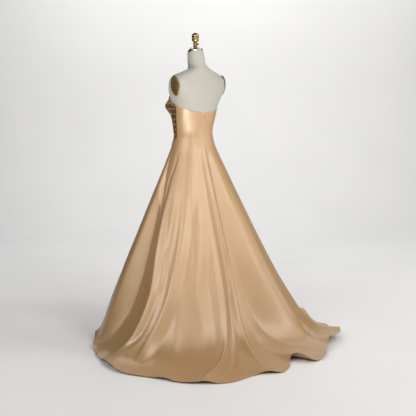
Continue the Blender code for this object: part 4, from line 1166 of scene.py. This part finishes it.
class GOWN_OT_cap_and_finial(bpy.types.Operator):
    """Make the polished neck cap and the turned finial"""

    bl_idname = "gown.cap_and_finial"
    bl_label = "Neck cap and finial"

    def execute(self, context):
        sizes = context.scene.gown_sizes
        top = CAP_TOP - NECK_TOP
        lean = float(form_value(NECK_TOP, "lean"))
        tilt = float(form_value(NECK_TOP, "tilt")) / float(form_value(NECK_TOP, "back"))
        rows = np.array([
            (0.001, 0.0, 1.0), (0.0420, 0.0, 1.0), (0.0435, 0.06, 1.0), (0.0438, 0.18, 0.97),
            (0.0432, 0.30, 0.95), (0.0418, 0.36, 0.90), (0.0400, 0.46, 0.82), (0.0360, 0.60, 0.66),
            (0.0305, 0.74, 0.46), (0.0250, 0.86, 0.24), (0.0215, 0.94, 0.08),
            (CAP_TOP_RADIUS, 1.0, 0.0), (0.001, 1.0, 0.0),
        ])
        angle = np.linspace(0, 2 * math.pi, 72, endpoint=False)[None, :]
        radius, rise, follow = (rows[:, k : k + 1] for k in range(3))
        y = radius * np.sin(angle)
        z = NECK_TOP + 2 * SEAM_GAP + top * rise + follow * tilt * y
        points = np.stack([radius * np.cos(angle), y + lean, z], axis=-1)
        cap = mesh_object("neck_cap_polished", points, grid_faces(len(rows), angle.size, True)[:, ::-1])
        steel = metal_material("polished_cap", (0.62, 0.62, 0.60), (0.30, 0.30, 0.29), 0.12, 20.0)
        finish_piece(cap, steel, "neck_cap", slot="cap_steel")
        foot = CAP_TOP + 3 * SEAM_GAP
        profile = rounded_profile((
            (0.0115, 0.0000), (0.0130, 0.0020), (0.0125, 0.0050), (0.0090, 0.0075),
            (0.0122, 0.0105), (0.0128, 0.0135), (0.0122, 0.0170), (0.0085, 0.0205),
            (0.0105, 0.0230), (0.0168, 0.0290), (0.0195, 0.0360), (0.0190, 0.0420),
            (0.0172, 0.0450), (0.0190, 0.0480), (0.0202, 0.0550), (0.0188, 0.0645),
            (0.0140, 0.0720), (0.0070, 0.0762), (0.0015, 0.0775),
        ))
        finial = lathe("finial_turned", profile, (0, lean, foot))
        brass = metal_material("finial_brass", sizes.brass_colour, (0.20, 0.12, 0.05), 0.24, 40.0)
        finish_piece(finial, brass, "finial", slot="aged_brass")
        screw = bpy.data.objects["cap_screw"]
        screw.data.materials.clear()
        grey = metal_material("screw_steel", (0.34, 0.34, 0.34), (0.16, 0.16, 0.16), 0.3, 60.0)
        screw.data.materials.append(grey)
        return {"FINISHED"}


class GOWN_OT_zip_and_stand(bpy.types.Operator):
    """Finish the zip's slider and tab and the iron stand"""

    bl_idname = "gown.zip_and_stand"
    bl_label = "Zip and stand"

    def execute(self, context):
        lacquer = metal_material("zip_lacquer", (0.72, 0.52, 0.30), (0.50, 0.33, 0.16), 0.32, 120.0)
        iron = painted_iron_material()
        for name, finish in (("zip_slider", lacquer), ("zip_pull", lacquer), ("stand_base", iron),
                             ("stand_pole", iron), ("stand_flange", iron)):
            thing = bpy.data.objects[name]
            thing.data.materials.clear()
            thing.data.materials.append(finish)
        return {"FINISHED"}


def area_light(name, place, aim, size, power, colour):
    """A soft rectangular light that faces its aim."""
    data = bpy.data.lights.new(name, "AREA")
    data.shape = "RECTANGLE"
    data.size, data.size_y = size
    data.energy = power
    data.color = colour
    thing = bpy.data.objects.new(name, data)
    thing.location = place
    thing.rotation_euler = (Vector(aim) - Vector(place)).to_track_quat("-Z", "Y").to_euler()
    bpy.context.scene.collection.objects.link(thing)


class GOWN_OT_studio(bpy.types.Operator):
    """Make the floor, the lights and the camera"""

    bl_idname = "gown.studio"
    bl_label = "Studio"

    def execute(self, context):
        turn = math.radians(CAMERA_TURN)
        toward = Vector((math.sin(turn), -math.cos(turn), 0))
        right = Vector((math.cos(turn), math.sin(turn), 0))
        data = bpy.data.cameras.new("gown_camera")
        data.sensor_width = 36.0
        data.lens = FOCAL_PIXELS / PICTURE_PIXELS * data.sensor_width
        camera = bpy.data.objects.new("gown_camera", data)
        camera.location = toward * CAMERA_AWAY + Vector((0, 0, CAMERA_HEIGHT))
        drop = CAMERA_AWAY * math.tan(math.radians(CAMERA_PITCH))
        aim = right * CAMERA_ASIDE + Vector((0, 0, CAMERA_HEIGHT - drop))
        camera.rotation_euler = (aim - camera.location).to_track_quat("-Z", "Y").to_euler()
        context.scene.collection.objects.link(camera)
        context.scene.camera = camera
        # the floor, the rounded corner behind it and the wall
        corner = np.linspace(0, math.pi / 2, 13)[1:]
        along = np.concatenate([
            np.linspace(-4.2, FLOOR_BACK, 3), FLOOR_BACK + SWEEP_RADIUS * np.sin(corner),
            np.full(2, FLOOR_BACK + SWEEP_RADIUS),
        ])
        up = np.concatenate([
            np.zeros(3), SWEEP_RADIUS - SWEEP_RADIUS * np.cos(corner), np.array([3.5, 6.0]),
        ]) - 0.0006
        across = np.linspace(-2.8, 2.8, 3)
        points = (
            -along[None, :, None] * np.array(toward) + across[:, None, None] * np.array(right)
            + up[None, :, None] * np.array((0, 0, 1.0))
        )
        sweep = mesh_object("studio_sweep", points, grid_faces(3, len(along)))
        made, tree, shader = new_material("pale_paper")
        tint = colour_ramp(tree, object_noise(tree, 1.2, 2.0), [
            (0.3, (0.84, 0.84, 0.84)), (0.7, (0.87, 0.87, 0.87)),
        ])
        tree.links.new(tint, shader.inputs["Base Color"])
        shader.inputs["Roughness"].default_value = 0.8
        sweep.data.materials.append(made)
        world = bpy.data.worlds.new("studio_air")
        world.use_nodes = True
        background = world.node_tree.nodes["Background"]
        background.inputs["Color"].default_value = (*LIGHT_COLOUR, 1.0)
        background.inputs["Strength"].default_value = 0.02
        context.scene.world = world
        for name, swing, climb, size, power in LIGHTS:
            swing, climb = math.radians(swing), math.radians(climb)
            level = toward * math.cos(swing) + right * math.sin(swing)
            reach = (level * math.cos(climb) + Vector((0, 0, math.sin(climb)))) * LIGHT_AWAY
            area_light(name, reach + Vector(LIGHT_AIM), LIGHT_AIM, size, power, LIGHT_COLOUR)
        for name, spread, power in (
            ("floor_light", toward * 3.1, 165), ("floor_right_light", toward * 2.8 + right * 1.7, 45),
        ):
            area_light(name, spread + Vector((0, 0, 0.03)), spread + Vector((0, 0, 2.0)),
                       (1.9, 1.7), power, LIGHT_COLOUR)
        area_light("paper_light", -toward * 2.4 + Vector((0, 0, 4.6)), -toward * 4.6 + Vector((0, 0, 1.4)),
                   (4.0, 1.2), 110, (1.0, 1.0, 1.0))
        context.scene.view_settings.view_transform = "Standard"
        return {"FINISHED"}


OPERATORS = (
    GOWN_OT_dress_form, GOWN_OT_satin_panels, GOWN_OT_beaded_bodice, GOWN_OT_arm_plates,
    GOWN_OT_cap_and_finial, GOWN_OT_zip_and_stand, GOWN_OT_studio,
)


class GOWN_PT_panel(bpy.types.Panel):
    """Lists the gown's sizes and the steps that make it"""

    bl_label = "Evening gown"
    bl_idname = "GOWN_PT_panel"
    bl_space_type = "VIEW_3D"
    bl_region_type = "UI"
    bl_category = "Gown"

    def draw(self, context):
        for key in GownSizes.__annotations__:
            self.layout.prop(context.scene.gown_sizes, key)
        for operator in OPERATORS:
            self.layout.operator(operator.bl_idname)


def register():
    """Adds the sizes, the steps and the panel."""
    for item in (GownSizes, *OPERATORS, GOWN_PT_panel):
        bpy.utils.register_class(item)
    bpy.types.Scene.gown_sizes = bpy.props.PointerProperty(type=GownSizes)


def unregister():
    """Takes the panel, the steps and the sizes away."""
    del bpy.types.Scene.gown_sizes
    for item in (GOWN_PT_panel, *reversed(OPERATORS), GownSizes):
        bpy.utils.unregister_class(item)


def main():
    """Makes every piece and the studio."""
    register()
    bpy.ops.gown.dress_form()
    bpy.ops.gown.satin_panels()
    bpy.ops.gown.beaded_bodice()
    bpy.ops.gown.arm_plates()
    bpy.ops.gown.cap_and_finial()
    bpy.ops.gown.zip_and_stand()
    bpy.ops.gown.studio()


if __name__ == "__main__":
    main()
